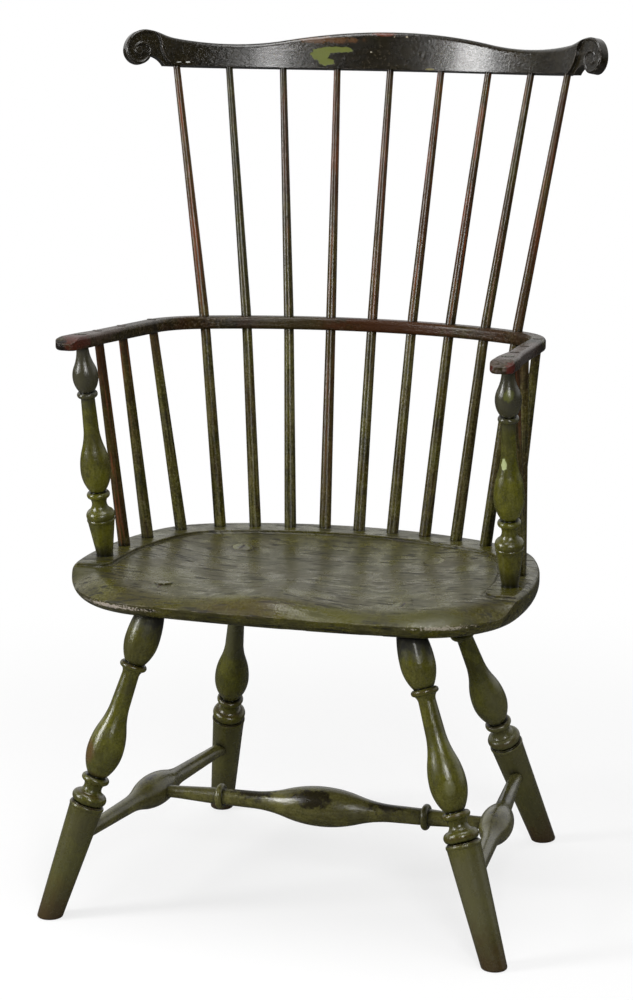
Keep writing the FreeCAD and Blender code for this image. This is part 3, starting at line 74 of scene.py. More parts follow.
def vectorCalc(tree, operation, *vectors):
    made = put(tree, "ShaderNodeVectorMath", {"operation": operation})
    for index, vector in enumerate(vectors):
        feed(tree, made.inputs[index], vector)
    return made.outputs


def blend(tree, factor, under, over):
    made = put(tree, "ShaderNodeMix", {"data_type": "RGBA"})
    feed(tree, made.inputs[0], factor)
    feed(tree, made.inputs[6], under if isinstance(under, bpy.types.NodeSocket) else (*under, 1))
    feed(tree, made.inputs[7], (*over, 1))
    return made.outputs[2]


def span(tree, value, low, high, bottom=0.0, top=1.0, kind="SMOOTHSTEP"):
    made = put(tree, "ShaderNodeMapRange", {"interpolation_type": kind, "clamp": True})
    for index, item in enumerate((value, low, high, bottom, top)):
        feed(tree, made.inputs[index], item)
    return made.outputs[0]


def pick(tree, switch, off, on):
    return span(tree, switch, 0.0, 1.0, off, on, "LINEAR")


def noise(tree, vector, scale, detail, roughness):
    return put(tree, "ShaderNodeTexNoise", Vector=vector, Scale=scale, Detail=detail,
               Roughness=roughness).outputs[0]


def veil(tree, vector, look, scale=None):
    # noise cut to a soft mask
    cloud = noise(tree, vector, look["scale"] if scale is None else scale, look["detail"], look["roughness"])
    return span(tree, cloud, *look["cut"])


def drawnOut(tree, vector, stretch):
    # shrinks the grain's own direction, so that a pattern runs along it
    parts = put(tree, "ShaderNodeSeparateXYZ", Vector=vector).outputs
    along = calc(tree, "MULTIPLY", parts[2], stretch)
    return put(tree, "ShaderNodeCombineXYZ", X=parts[0], Y=parts[1], Z=along).outputs[0]


def newGroup(name, inputs, outputs):
    tree = bpy.data.node_groups.new(name, "ShaderNodeTree")
    for label, value in inputs.items():
        kind = "NodeSocketVector" if isinstance(value, tuple) else "NodeSocketFloat"
        tree.interface.new_socket(label, in_out="INPUT", socket_type=kind).default_value = value
    for label in outputs:
        tree.interface.new_socket(label, in_out="OUTPUT", socket_type="NodeSocketFloat")
    return tree, tree.nodes.new("NodeGroupInput").outputs, tree.nodes.new("NodeGroupOutput").inputs


def useGroup(tree, group, **inputs):
    return put(tree, "ShaderNodeGroup", {"node_tree": group}, **inputs).outputs


# old brushed paint: clouds of tone, streaks along the grain, specks, pits, a slow drift and the film's relief
filmLook = {
    "clouds": {"scale": 30.0, "detail": 7.0, "roughness": 0.72, "cut": (0.38, 0.64)},
    "streaks": {"scale": 300.0, "detail": 4.0, "roughness": 0.6, "cut": (0.40, 0.66)},
    "drift": {"scale": 9.0, "detail": 6.0, "roughness": 0.66, "cut": (0.44, 0.60)},
    "gritDetail": 3.0, "gritRoughness": 0.65, "speckCut": (0.54, 0.65), "speckClouds": (0.0, 0.6, 0.3, 1.0),
    "pitCut": (0.48, 0.37), "streakLift": 0.4, "gritLift": 1.6, "thickness": 0.0006, "easeSamples": 4,
}


def makeBrushedPaint():
    tree, given, out = newGroup("brushedPaint", {"Vector": (0, 0, 0), "Stretch": 0.06, "Tooth": 380.0},
                                ["Clouds", "Streaks", "Specks", "Pits", "Drift", "Height"])
    drawn = drawnOut(tree, given["Vector"], given["Stretch"])
    clouds = veil(tree, given["Vector"], filmLook["clouds"])
    streaks = veil(tree, drawn, filmLook["streaks"])
    drift = veil(tree, given["Vector"], filmLook["drift"])
    grit = noise(tree, given["Vector"], given["Tooth"], filmLook["gritDetail"], filmLook["gritRoughness"])
    specks = calc(tree, "MULTIPLY", span(tree, grit, *filmLook["speckCut"]),
                  span(tree, clouds, *filmLook["speckClouds"]))
    height = calc(tree, "ADD", calc(tree, "MULTIPLY", streaks, filmLook["streakLift"]),
                  calc(tree, "MULTIPLY", grit, filmLook["gritLift"]))
    made = {"Clouds": clouds, "Streaks": streaks, "Specks": specks, "Drift": drift, "Height": height,
            "Pits": span(tree, grit, *filmLook["pitCut"])}
    for label, value in made.items():
        tree.links.new(value, out[label])
    return tree


# fine dark lines where the grain has opened through the paint
grainLook = {
    "lines": {"detail": 3.0, "roughness": 0.6, "cut": (0.54, 0.62)},
    "where": {"scale": 22.0, "detail": 3.0, "roughness": 0.6, "cut": (0.34, 0.50)},
}


def makeOpenGrain():
    tree, given, out = newGroup("openGrain", {"Vector": (0, 0, 0), "Stretch": 0.04, "Scale": 420.0}, ["Mask"])
    drawn = drawnOut(tree, given["Vector"], given["Stretch"])
    lines = veil(tree, drawn, grainLook["lines"], given["Scale"])
    where = veil(tree, given["Vector"], grainLook["where"])
    tree.links.new(calc(tree, "MULTIPLY", lines, where), out["Mask"])
    return tree


# a place with a ragged edge: used for wear and chips, and also for painted shade, shadow, sheen and glints
edgeLook = {"detail": 4.0, "roughness": 0.6, "middle": 0.5}


def makeRaggedPatch():
    tree, given, out = newGroup("raggedPatch", {
        "Vector": (0, 0, 0), "Centre": (0, 0, 0), "Reach": (0.01, 0.01, 0.01), "Ragged": 0.5, "Softness": 0.1,
        "Grain": 120.0}, ["Mask"])
    offset = vectorCalc(tree, "SUBTRACT", given["Vector"], given["Centre"])[0]
    ratio = vectorCalc(tree, "DIVIDE", offset, given["Reach"])[0]
    length = vectorCalc(tree, "LENGTH", ratio)["Value"]
    cloud = noise(tree, given["Vector"], given["Grain"], edgeLook["detail"], edgeLook["roughness"])
    rough = calc(tree, "SUBTRACT", cloud, edgeLook["middle"])
    edge = calc(tree, "ADD", length, calc(tree, "MULTIPLY", rough, given["Ragged"]))
    soft = calc(tree, "SUBTRACT", 1.0, given["Softness"])
    tree.links.new(span(tree, edge, 1.0, soft), out["Mask"])
    return tree


# dirt where turnings meet, and painted shade: ambient occlusion darkens hollows, gaps and creases with the dirt colour
hollowDirtAndShadeLook = {"samples": 6, "cut": (0.93, 0.48)}


def makeHollowDirtAndShade():
    tree, given, out = newGroup("hollowDirt", {"Reach": 0.006}, ["Mask"])
    shade = put(tree, "ShaderNodeAmbientOcclusion", {"samples": hollowDirtAndShadeLook["samples"]}, Distance=given["Reach"])
    tree.links.new(span(tree, shade.outputs["AO"], *hollowDirtAndShadeLook["cut"]), out["Mask"])
    return tree


# arrises rubbed by hands and feet, made lighter; on the comb's volute ridges this lighter edge is also a painted
# highlight
arrisLook = {"samples": 6, "cut": (0.985, 0.86),
             "patches": {"scale": 60.0, "detail": 3.0, "roughness": 0.55, "cut": (0.38, 0.62)}}


def makeRubbedArrisAndGlint():
    tree, given, out = newGroup("rubbedArris", {"Radius": 0.0015, "Vector": (0, 0, 0)}, ["Mask"])
    rounded = put(tree, "ShaderNodeBevel", {"samples": arrisLook["samples"]}, Radius=given["Radius"]).outputs[0]
    plain = put(tree, "ShaderNodeNewGeometry").outputs["Normal"]
    edge = span(tree, vectorCalc(tree, "DOT_PRODUCT", rounded, plain)["Value"], *arrisLook["cut"])
    patches = veil(tree, given["Vector"], arrisLook["patches"])
    tree.links.new(calc(tree, "MULTIPLY", edge, patches), out["Mask"])
    return tree


brushedPaint = makeBrushedPaint()
openGrain = makeOpenGrain()
raggedPatch = makeRaggedPatch()
hollowDirt = makeHollowDirtAndShade()
rubbedArris = makeRubbedArrisAndGlint()
print("shared finishes ready")


def longAxis(node, guess=(0.3, 0.3, 1), steps=40):
    # direction of a rod, from the spread of its points
    points = [vertex.co for vertex in node.data.vertices]
    middle = sum(points, Vector()) / len(points)
    axis = Vector(guess).normalized()
    spread = Matrix(((0, 0, 0), (0, 0, 0), (0, 0, 0)))
    for point in points:
        arm = point - middle
        for row in range(3):
            spread[row] += arm[row] * arm
    for step in range(steps):
        axis = (spread @ axis).normalized()
    return axis


def spot(at, reach, colour, amount=1.0, ragged=0.7, soft=0.5, grain=120.0, rough=None, sink=0.0):
    # one marked place: wear and stains, and also painted shade, shadow, sheen and glints
    return {"at": at, "reach": reach, "colour": colour, "amount": amount, "ragged": ragged, "soft": soft,
            "grain": grain, "rough": rough, "sink": sink}


class Finish:
    # a painted wooden surface under varnish, begun with its grain and ready for wear and for painted shade and light
    def __init__(self, name, axis, look):
        self.material = bpy.data.materials.new(name)
        self.material.use_nodes = True
        self.tree = tree = self.material.node_tree
        self.shader = tree.nodes["Principled BSDF"]
        self.look = look
        self.place = put(tree, "ShaderNodeTexCoord").outputs["Object"]
        self.turn = axis.to_track_quat("Z", "Y")
        self.grain = put(tree, "ShaderNodeMapping", {"vector_type": "TEXTURE"}, Vector=self.place,
                         Rotation=self.turn.to_euler()).outputs[0]
        self.film = useGroup(tree, brushedPaint, Vector=self.grain, Stretch=look["stretch"], Tooth=look["tooth"])
        self.colour = blend(tree, self.film["Clouds"], look["dark"], look["mid"])
        smooth, dull = look["gloss"]
        self.roughness = pick(tree, self.film["Clouds"], dull, smooth)
        self.height = self.film["Height"]
        for layer, colour, amount in (("Drift", "drift", "drifted"), ("Streaks", "pale", "streak"),
                                      ("Specks", "fleck", "speck"), ("Pits", "dirt", "pitted")):
            self.over(self.film[layer], look[colour], look[amount])

    def over(self, mask, colour, amount, roughness=None, sink=0.0):
        tree = self.tree
        if amount != 1.0:
            mask = calc(tree, "MULTIPLY", mask, amount)
        self.colour = blend(tree, mask, self.colour, colour)
        if roughness is not None:
            self.roughness = pick(tree, mask, self.roughness, roughness)
        if sink:
            self.height = calc(tree, "SUBTRACT", self.height, calc(tree, "MULTIPLY", mask, sink))

    def patch(self, place):
        return useGroup(self.tree, raggedPatch, Vector=self.place, Centre=place["at"], Reach=place["reach"],
                        Ragged=place["ragged"], Softness=place["soft"], Grain=place["grain"])["Mask"]

    # lays on marks of wear and stains, and also painted shade, shadow, sheen and glints
    def wear(self, places):
        for place in places:
            self.over(self.patch(place), place["colour"], place["amount"], place["rough"], place["sink"])

    def bands(self, places, band):
        # worn edges of rings, square to the grain
        for place in places:
            mask = useGroup(self.tree, raggedPatch, Vector=self.grain, Centre=self.turn.inverted() @ Vector(place),
                            Reach=band["reach"], Ragged=band["ragged"], Softness=band["soft"],
                            Grain=band["grain"])["Mask"]
            self.over(mask, band["colour"], band["amount"])

    def rise(self):
        return put(self.tree, "ShaderNodeSeparateXYZ", Vector=self.place).outputs["Z"]

    def lines(self, line):
        mask = useGroup(self.tree, openGrain, Vector=self.grain, Stretch=line["stretch"], Scale=line["scale"])["Mask"]
        self.over(mask, line["colour"], line["amount"], line["rough"], line["sink"])

    # darkens hollows, gaps and creases with the dirt colour: dirt, and also painted shade
    def hollows(self):
        reach, amount = self.look["hollow"]
        self.over(useGroup(self.tree, hollowDirt, Reach=reach)["Mask"], self.look["dirt"], amount)

    # lightens the arrises: rub wear, and on the comb also a painted highlight
    def arrises(self):
        radius, amount = self.look["arris"]
        mask = useGroup(self.tree, rubbedArris, Radius=radius, Vector=self.place)["Mask"]
        self.over(mask, self.look["rubbed"], amount)

    def dress(self, piece):
        # ends the material, its arrises softened, and puts it on a piece
        tree, look, sockets = self.tree, self.look, self.shader.inputs
        eased = put(tree, "ShaderNodeBevel", {"samples": filmLook["easeSamples"]}, Radius=look["eased"]).outputs[0]
        bump = put(tree, "ShaderNodeBump", Height=self.height, Strength=look["relief"],
                   Distance=filmLook["thickness"], Normal=eased).outputs[0]
        feed(tree, sockets["Base Color"], self.colour)
        feed(tree, sockets["Roughness"], self.roughness)
        feed(tree, sockets["Normal"], bump)
        sockets["Specular IOR Level"].default_value = look["shine"]
        sockets["Coat Weight"].default_value = look["varnish"]
        sockets["Coat Roughness"].default_value = look["varnishRough"]
        piece.data.materials.clear()
        piece.data.materials.append(self.material)


# legs: olive paint, dirt and painted shade in the turnings, painted shadow of the seat at their tops, brown where the
# rings are rubbed and at the feet
legPaint = {
    "dark": (0.056, 0.055, 0.007), "mid": (0.112, 0.110, 0.009), "pale": (0.17, 0.168, 0.06), "streak": 0.15,
    "drift": (0.050, 0.040, 0.006), "drifted": 0.4, "fleck": (0.22, 0.215, 0.10), "speck": 0.2,
    "dirt": (0.006, 0.006, 0.002), "pitted": 0.35, "rubbed": (0.13, 0.072, 0.028), "arris": (0.0024, 0.75),
    "hollow": (0.011, 0.97), "tooth": 420.0, "stretch": 0.25, "gloss": (0.19, 0.30), "relief": 0.34,
    "eased": 0.0008, "shine": 0.5, "varnish": 0.2, "varnishRough": 0.12,
}
legBand = {"reach": (0.06, 0.06, 0.0028), "ragged": 1.2, "soft": 0.8, "grain": 140.0,
           "colour": (0.060, 0.034, 0.012), "amount": 0.45}
legFoot = {"lower": (0.080, 0.075, 0.034), "lowerSpan": (0.158, 0.130), "lowered": 0.5,
           "brown": (0.05, 0.028, 0.012), "brownSpan": (0.060, -0.015), "browned": 0.8, "ragged": -0.03}
seatShadowPaint = {"colour": (0.006, 0.005, 0.003), "rough": 0.7}  # painted shadow of the seat over the tops of the legs, with a dull gloss
legWearAndPaintedLight = {
    "front_left_leg": [
        spot((-0.243, -0.250, 0.2236), (0.014, 0.03, 0.020), (0.12, 0.055, 0.018), 0.6),
        # painted shadow of the seat on the leg's top
        spot((-0.163, -0.200, 0.4000), (0.040, 0.05, 0.050), amount=0.9, **seatShadowPaint),
        spot((-0.161, -0.196, 0.4345), (0.010, 0.003, 0.01), (0.30, 0.28, 0.22), 0.6),
    ],
    "front_right_leg": [
        # painted shadow of the seat on the leg's top
        spot((0.174, -0.205, 0.4000), (0.05, 0.05, 0.046), amount=0.95, **seatShadowPaint),
        spot((0.265, -0.273, 0.0900), (0.05, 0.05, 0.075), (0.125, 0.118, 0.058), 0.6),
        spot((0.236, -0.262, 0.2250), (0.012, 0.012, 0.014), (0.19, 0.19, 0.10), 0.5),
    ],
    "rear_left_leg": [
        spot((-0.165, 0.080, 0.320), (0.05, 0.06, 0.085), (0.080, 0.077, 0.040), 0.8),
        spot((-0.128, 0.023, 0.4330), (0.016, 0.011, 0.02), (0.012, 0.010, 0.006), 0.8),
    ],
    "rear_right_leg": [
        # painted shadow of the seat on the leg's top
        spot((0.165, 0.070, 0.370), (0.06, 0.06, 0.030), (0.014, 0.013, 0.003), 0.5),
        # lighter paint over the lower leg: worn paint, and partly painted light for the brighter light on this leg
        spot((0.235, 0.110, 0.180), (0.08, 0.08, 0.220), (0.130, 0.123, 0.050), 0.55),
    ],
}
legRings = {
    "front_left_leg": [(-0.1837, -0.2349, 0.3336), (-0.2283, -0.2524, 0.1911), (-0.2354, -0.2596, 0.1648)],
    "front_right_leg": [(0.1953, -0.2373, 0.3351), (0.2435, -0.2565, 0.1890), (0.2512, -0.2653, 0.1633)],
    "rear_left_leg": [(-0.1876, 0.1232, 0.1865), (-0.1901, 0.1295, 0.1643)],
    "rear_right_leg": [(0.1964, 0.1216, 0.1879), (0.2041, 0.1251, 0.1609)],
}
for name, places in legWearAndPaintedLight.items():
    finish = Finish(name + "_paint", longAxis(nodes[name]), legPaint)
    finish.wear(places)
    finish.bands(legRings[name], legBand)
    finish.arrises()
    finish.hollows()
    rise = finish.rise()
    finish.over(span(finish.tree, rise, *legFoot["lowerSpan"]), legFoot["lower"], legFoot["lowered"])
    clouded = calc(finish.tree, "MULTIPLY", finish.film["Clouds"], legFoot["ragged"])
    footed = span(finish.tree, calc(finish.tree, "ADD", rise, clouded), *legFoot["brownSpan"])
    finish.over(footed, legFoot["brown"], legFoot["browned"])
    finish.dress(nodes[name])

# posts under the arms: greyer at the top, one pale chip, painted shade where they meet the seat
postPaint = dict(legPaint, dark=(0.052, 0.051, 0.005), mid=(0.112, 0.110, 0.007), pale=(0.18, 0.175, 0.06),
                 arris=(0.001, 0.5), hollow=(0.009, 0.97))
postWearAndShade = {
    "left_arm_post": [
        spot((-0.277, -0.160, 0.700), (0.04, 0.05, 0.062), (0.046, 0.042, 0.030), 0.85),
        # painted shade where the post meets the seat
        spot((-0.270, -0.118, 0.448), (0.03, 0.03, 0.016), (0.016, 0.014, 0.004), 0.7),
    ],
    "right_arm_post": [
        spot((0.277, -0.160, 0.700), (0.04, 0.05, 0.062), (0.040, 0.037, 0.028), 0.85),
        spot((0.281, -0.172, 0.6947), (0.008, 0.010, 0.010), (0.13, 0.14, 0.03), 0.7, ragged=1.2, grain=260.0),
        spot((0.271, -0.154, 0.6050), (0.0040, 0.010, 0.0085), (0.40, 0.45, 0.20), ragged=1.3, soft=0.12,
             grain=180.0, rough=0.5, sink=0.8),
        # painted shade where the post meets the seat
        spot((0.270, -0.118, 0.455), (0.03, 0.03, 0.020), (0.018, 0.016, 0.004), 0.6),
    ],
}
for name, places in postWearAndShade.items():
    finish = Finish(name + "_paint", longAxis(nodes[name]), postPaint)
    finish.wear(places)
    finish.arrises()
    finish.hollows()
    finish.dress(nodes[name])

# stretchers: greyer, their tops worn dark by feet
stretcherPaint = dict(legPaint, dark=(0.066, 0.060, 0.018), mid=(0.135, 0.125, 0.032), pale=(0.19, 0.18, 0.08),
                      streak=0.25, stretch=0.1, arris=(0.0013, 0.6), hollow=(0.010, 0.97))
footWear = {"colour": (0.016, 0.012, 0.007), "amount": 0.9, "ragged": 2.0}
sideReach = (0.020, 0.050, 0.013)
stretcherWear = {
    "left_stretcher": (sideReach, [(-0.240, -0.070, 0.136), (-0.226, 0.060, 0.128)]),
    "right_stretcher": (sideReach, [(0.240, -0.080, 0.136), (0.232, 0.040, 0.128)]),
    "medial_stretcher": ((0.034, 0.026, 0.015),
                         [(-0.096, -0.045, 0.120), (-0.007, -0.060, 0.122), (0.090, -0.046, 0.122)]),
}
for name, (reach, places) in stretcherWear.items():
    finish = Finish(name + "_paint", longAxis(nodes[name]), stretcherPaint)
    finish.wear([spot(place, reach, **footWear) for place in places])
    finish.arrises()
    finish.hollows()
    finish.dress(nodes[name])
print("turned parts painted")

# seat: rubbed to a grey sheen, its grain open across the width
seatPaint = {
    "dark": (0.033, 0.030, 0.002), "mid": (0.075, 0.069, 0.003), "pale": (0.125, 0.115, 0.045), "streak": 0.35,
    "drift": (0.046, 0.036, 0.010), "drifted": 0.5, "fleck": (0.17, 0.16, 0.09), "speck": 0.35,
    "dirt": (0.008, 0.007, 0.002), "pitted": 0.5, "rubbed": (0.24, 0.21, 0.14), "arris": (0.0026, 0.7),
    "hollow": (0.005, 0.95), "tooth": 360.0, "stretch": 0.07, "gloss": (0.19, 0.40), "relief": 0.34,
    "eased": 0.0025, "shine": 0.4, "varnish": 0.06, "varnishRough": 0.14,
}
seatGrain = {"colour": (0.008, 0.007, 0.003), "amount": 0.85, "scale": 185.0, "stretch": 0.14, "rough": 0.65,
             "sink": 1.0}
acrossSeat = Vector((1, 0, 0))
rimChipAndGlint = {"ragged": 5.0, "soft": 0.4, "grain": 420.0}
polished = {"colour": (0.075, 0.069, 0.005), "amount": 0.7}  # the seat's own paint, made smooth by use
seatWearAndPaintedLight = [
    spot((-0.020, -0.267, 0.4320), (0.085, 0.025, 0.014), (0.070, 0.042, 0.016), 0.3, ragged=2.2, grain=260.0),
    spot((0.075, -0.265, 0.4290), (0.080, 0.025, 0.014), (0.074, 0.071, 0.004), 0.6, ragged=1.8, grain=160.0),
    spot((0.205, -0.245, 0.4270), (0.070, 0.035, 0.016), (0.060, 0.058, 0.004), 0.6),
    spot((-0.265, -0.175, 0.4400), (0.030, 0.035, 0.020), (0.040, 0.038, 0.003), 0.7),
    # light chips along the rim's arris: bare wood, and partly painted glints
    spot((-0.206, -0.258, 0.4180), (0.050, 0.030, 0.0030), (0.60, 0.52, 0.44), 0.75, **rimChipAndGlint),
    spot((0.222, -0.254, 0.4215), (0.034, 0.030, 0.0026), (0.60, 0.53, 0.42), 0.7, **rimChipAndGlint),
    spot((-0.045, -0.247, 0.4380), (0.050, 0.014, 0.012), ragged=1.6, soft=0.9, grain=90.0, rough=0.22, **polished),
    spot((-0.165, -0.150, 0.4370), (0.050, 0.060, 0.020), ragged=1.2, soft=1.0, grain=60.0, rough=0.22, **polished),
    spot((0.035, -0.205, 0.4400), (0.060, 0.012, 0.020), ragged=2.0, soft=0.7, grain=70.0, rough=0.24, **polished),
    spot((0.120, -0.165, 0.4310), (0.060, 0.016, 0.020), ragged=2.0, soft=0.7, grain=70.0, rough=0.24, **polished),
    # darker, duller paint over the seat's middle: partly dirt, partly painted shade for the weaker sheen there
    spot((-0.020, -0.040, 0.4290), (0.110, 0.060, 0.030), (0.034, 0.031, 0.004), 0.55, ragged=1.4, soft=1.0,
         grain=40.0, rough=0.42),
    spot((-0.128, 0.023, 0.4330), (0.022, 0.017, 0.02), (0.014, 0.011, 0.007), 0.75),
    spot((0.1524, -0.187, 0.4343), (0.011, 0.004, 0.01), (0.007, 0.006, 0.004), 0.9, sink=0.8),
    spot((-0.158, -0.186, 0.4350), (0.012, 0.0022, 0.01), (0.010, 0.009, 0.005), 0.8),
]
finish = Finish("seat_paint", acrossSeat, seatPaint)
finish.lines(seatGrain)
finish.wear(seatWearAndPaintedLight)
finish.arrises()
finish.hollows()
finish.dress(nodes["seat"])

# leg tenons standing a little proud of the seat
tenonEnds = {"radius": 0.0122, "sides": 40, "thickness": 0.006, "bevel": 0.0006, "bevelSteps": 2, "roundness": 0.5,
             "hollow": (0.004, 0.95), "ends": [
                 {"at": (0.1314, 0.0229, 0.4325), "proud": 0.0008, "tilt": 8.0, "turn": 20.0},
                 {"at": (0.1524, -0.1850, 0.4343), "proud": 0.0004, "tilt": 5.0, "turn": -15.0},
                 {"at": (-0.1614, -0.1900, 0.4347), "proud": 0.0004, "tilt": -5.0, "turn": 10.0},
                 {"at": (-0.1290, 0.0232, 0.4324), "proud": 0.0002, "tilt": 2.0, "turn": 0.0},
             ]}
bm = bmesh.new()
for end in tenonEnds["ends"]:
    ring = bmesh.ops.create_circle(bm, cap_ends=True, segments=tenonEnds["sides"],
                                   radius=tenonEnds["radius"])["verts"]
    cap = list({face for vertex in ring for face in vertex.link_faces})
    grown = bmesh.ops.extrude_face_region(bm, geom=cap)["geom"]
    top = [item for item in grown if isinstance(item, bmesh.types.BMVert)]
    bmesh.ops.translate(bm, verts=top, vec=(0, 0, tenonEnds["thickness"]))
    rim = [item for item in grown if isinstance(item, bmesh.types.BMEdge)]
    bevelled = bmesh.ops.bevel(bm, geom=rim, offset=tenonEnds["bevel"], offset_type="OFFSET",
                               segments=tenonEnds["bevelSteps"], profile=tenonEnds["roundness"], affect="EDGES",
                               material=-1)["verts"]
    lean = Matrix.Rotation(math.radians(end["turn"]), 4, "Z") @ Matrix.Rotation(math.radians(end["tilt"]), 4, "X")
    down = Matrix.Translation((0, 0, end["proud"] - tenonEnds["thickness"]))
    moved = list({vertex for vertex in ring + top + bevelled if vertex.is_valid})
    bmesh.ops.transform(bm, matrix=Matrix.Translation(end["at"]) @ lean @ down, verts=moved)
bmesh.ops.recalc_face_normals(bm, faces=bm.faces)
mesh = bpy.data.meshes.new("tenon_ends")
bm.to_mesh(mesh)
bm.free()
tenons = bpy.data.objects.new("tenon_ends", mesh)
scene.collection.objects.link(tenons)
finish = Finish("tenon_ends_paint", acrossSeat, dict(seatPaint, hollow=tenonEnds["hollow"]))
finish.hollows()
finish.dress(tenons)
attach(tenons, "root")

# arm rail: dark paint rubbed to red brown, its ends almost black
railPaint = {
    "dark": (0.008, 0.006, 0.0015), "mid": (0.032, 0.024, 0.004), "pale": (0.085, 0.060, 0.035), "streak": 0.3,
    "drift": (0.044, 0.014, 0.004), "drifted": 0.65, "fleck": (0.20, 0.16, 0.12), "speck": 0.4,
    "dirt": (0.005, 0.004, 0.002), "pitted": 0.6, "rubbed": (0.30, 0.25, 0.22), "arris": (0.0020, 0.5),
    "hollow": (0.005, 0.95), "tooth": 340.0, "stretch": 0.06, "gloss": (0.22, 0.32), "relief": 0.45,
    "eased": 0.0018, "shine": 0.24, "varnish": 0.04, "varnishRough": 0.14,
}
railWearAndSheen = [
    spot((0.035, 0.165, 0.715), (0.115, 0.06, 0.03), (0.046, 0.014, 0.004), 0.75, ragged=1.8),
    spot((-0.110, 0.153, 0.716), (0.060, 0.05, 0.03), (0.030, 0.026, 0.006), 0.6),
    spot((-0.272, -0.195, 0.734), (0.020, 0.035, 0.025), (0.075, 0.015, 0.009), 0.75, ragged=2.0),
    spot((-0.287, -0.213, 0.731), (0.012, 0.018, 0.020), (0.006, 0.004, 0.003), 0.9, ragged=1.4),
    # grey on the tops of the arms: wear, and partly painted sheen
    spot((-0.268, -0.110, 0.740), (0.024, 0.085, 0.012), (0.100, 0.072, 0.060), 0.6, ragged=1.3, grain=220.0),
    spot((0.276, -0.110, 0.738), (0.030, 0.130, 0.024), (0.125, 0.100, 0.090), 0.75, ragged=1.3, grain=260.0),
    spot((0.264, -0.210, 0.733), (0.008, 0.014, 0.010), (0.080, 0.014, 0.010), 0.8, ragged=2.0, grain=200.0),
    spot((0.292, -0.206, 0.734), (0.007, 0.014, 0.010), (0.090, 0.014, 0.010), 0.8, ragged=2.0, grain=200.0),
    spot((0.270, 0.030, 0.726), (0.008, 0.012, 0.006), (0.075, 0.080, 0.020), 0.7),
]
acrossBack = Vector((1, 0, 0))
finish = Finish("arm_rail_paint", acrossBack, railPaint)
finish.wear(railWearAndSheen)
finish.arrises()
finish.hollows()
finish.dress(nodes["arm_rail"])

# comb: almost black, one place where the paint has come away to yellow green
# on the comb the lighter arrises paint highlights on the volute ridges, and the darkened hollows paint shade in its
# channel
combPaint = dict(railPaint, dark=(0.0050, 0.0038, 0.0015), mid=(0.010, 0.0075, 0.0025), pale=(0.028, 0.022, 0.012),
                 drift=(0.016, 0.012, 0.002), fleck=(0.06, 0.05, 0.035), tooth=250.0, relief=0.5,
                 gloss=(0.20, 0.28), shine=0.5, varnish=0.4, varnishRough=0.16, arris=(0.0011, 0.5),
                 hollow=(0.004, 0.95))
combLoss = {"colour": (0.088, 0.104, 0.004), "amount": 1.0, "ragged": 1.3, "soft": 0.10, "grain": 170.0,
            "rough": 0.45, "sink": 1.4}
combLossParts = [
    spot((-0.0750, 0.2505, 1.0728), (0.0290, 0.013, 0.0042), **combLoss),
    spot((-0.0940, 0.2455, 1.0660), (0.0130, 0.013, 0.0095), **combLoss),
    spot((-0.0850, 0.2455, 1.0570), (0.0110, 0.013, 0.0052), **combLoss),
]
combWearAndGlints = [
    spot((-0.085, 0.2510, 1.0855), (0.060, 0.02, 0.0055), (0.095, 0.042, 0.014), 0.75, ragged=1.6, grain=150.0),
    spot((-0.010, 0.2630, 1.0935), (0.020, 0.03, 0.0030), (0.13, 0.028, 0.012), 0.7, ragged=1.6, grain=260.0),
    # two small white arcs: painted glints
    spot((-0.2627, 0.1550, 1.0595), (0.0036, 0.008, 0.0010), (0.50, 0.50, 0.47), soft=0.4),
    spot((-0.2530, 0.1632, 1.0591), (0.0032, 0.008, 0.0012), (0.55, 0.55, 0.52), soft=0.4),
    spot((-0.1692, 0.2194, 1.0689), (0.0013, 0.006, 0.0011), (0.003, 0.003, 0.002)),
    spot((-0.0262, 0.2574, 1.0703), (0.0016, 0.006, 0.0012), (0.30, 0.28, 0.22)),
    spot((0.0225, 0.2627, 1.0908), (0.0020, 0.006, 0.0014), (0.32, 0.28, 0.20)),
    spot((0.0050, 0.2630, 1.0905), (0.0013, 0.006, 0.0011), (0.25, 0.20, 0.15)),
    spot((0.0587, 0.2488, 1.0495), (0.0085, 0.02, 0.0020), (0.13, 0.11, 0.03), 0.8),
]
finish = Finish("comb_paint", acrossBack, combPaint)
finish.wear(combWearAndGlints)
bared = 0.0
for part in combLossParts:
    bared = calc(finish.tree, "MAXIMUM", bared, finish.patch(part))
finish.over(bared, combLoss["colour"], combLoss["amount"], combLoss["rough"], combLoss["sink"])
finish.arrises()
finish.hollows()
finish.dress(nodes["comb"])
print("rail and comb painted")

# spindles: green below the rail, worn to brown above it with red streaks
spindlePaint = {
    "dark": (0.012, 0.011, 0.001), "mid": (0.066, 0.061, 0.005), "pale": (0.19, 0.175, 0.075), "streak": 0.4,
    "drift": (0.060, 0.030, 0.008), "drifted": 0.45, "fleck": (0.22, 0.20, 0.13), "speck": 0.35,
    "dirt": (0.006, 0.005, 0.002), "pitted": 0.6, "hollow": (0.007, 0.9), "tooth": 360.0, "stretch": 0.04,
    "gloss": (0.18, 0.28), "relief": 0.3, "eased": 0.0006, "shine": 0.3, "varnish": 0.12, "varnishRough": 0.08,
}
spindleWear = {"brown": (0.034, 0.013, 0.004), "browned": 0.9, "brownFrom": 0.70, "fadeBelow": 0.05, "fadeAbove": 0.10,
               "driftCut": (0.0, 0.8, 0.6, 1.0), "red": (0.150, 0.042, 0.014), "reddened": 0.7,
               "redCut": (0.45, 0.95)}
brownFrom = {  # height where the brown begins, if not at the rail
    "left_front_short": 0.40, "left_middle_short": 0.60, "left_rear_short": 0.68, "right_front_short": 0.60,
    "inner_left_long": 0.50, "centre_long": 0.66,
}
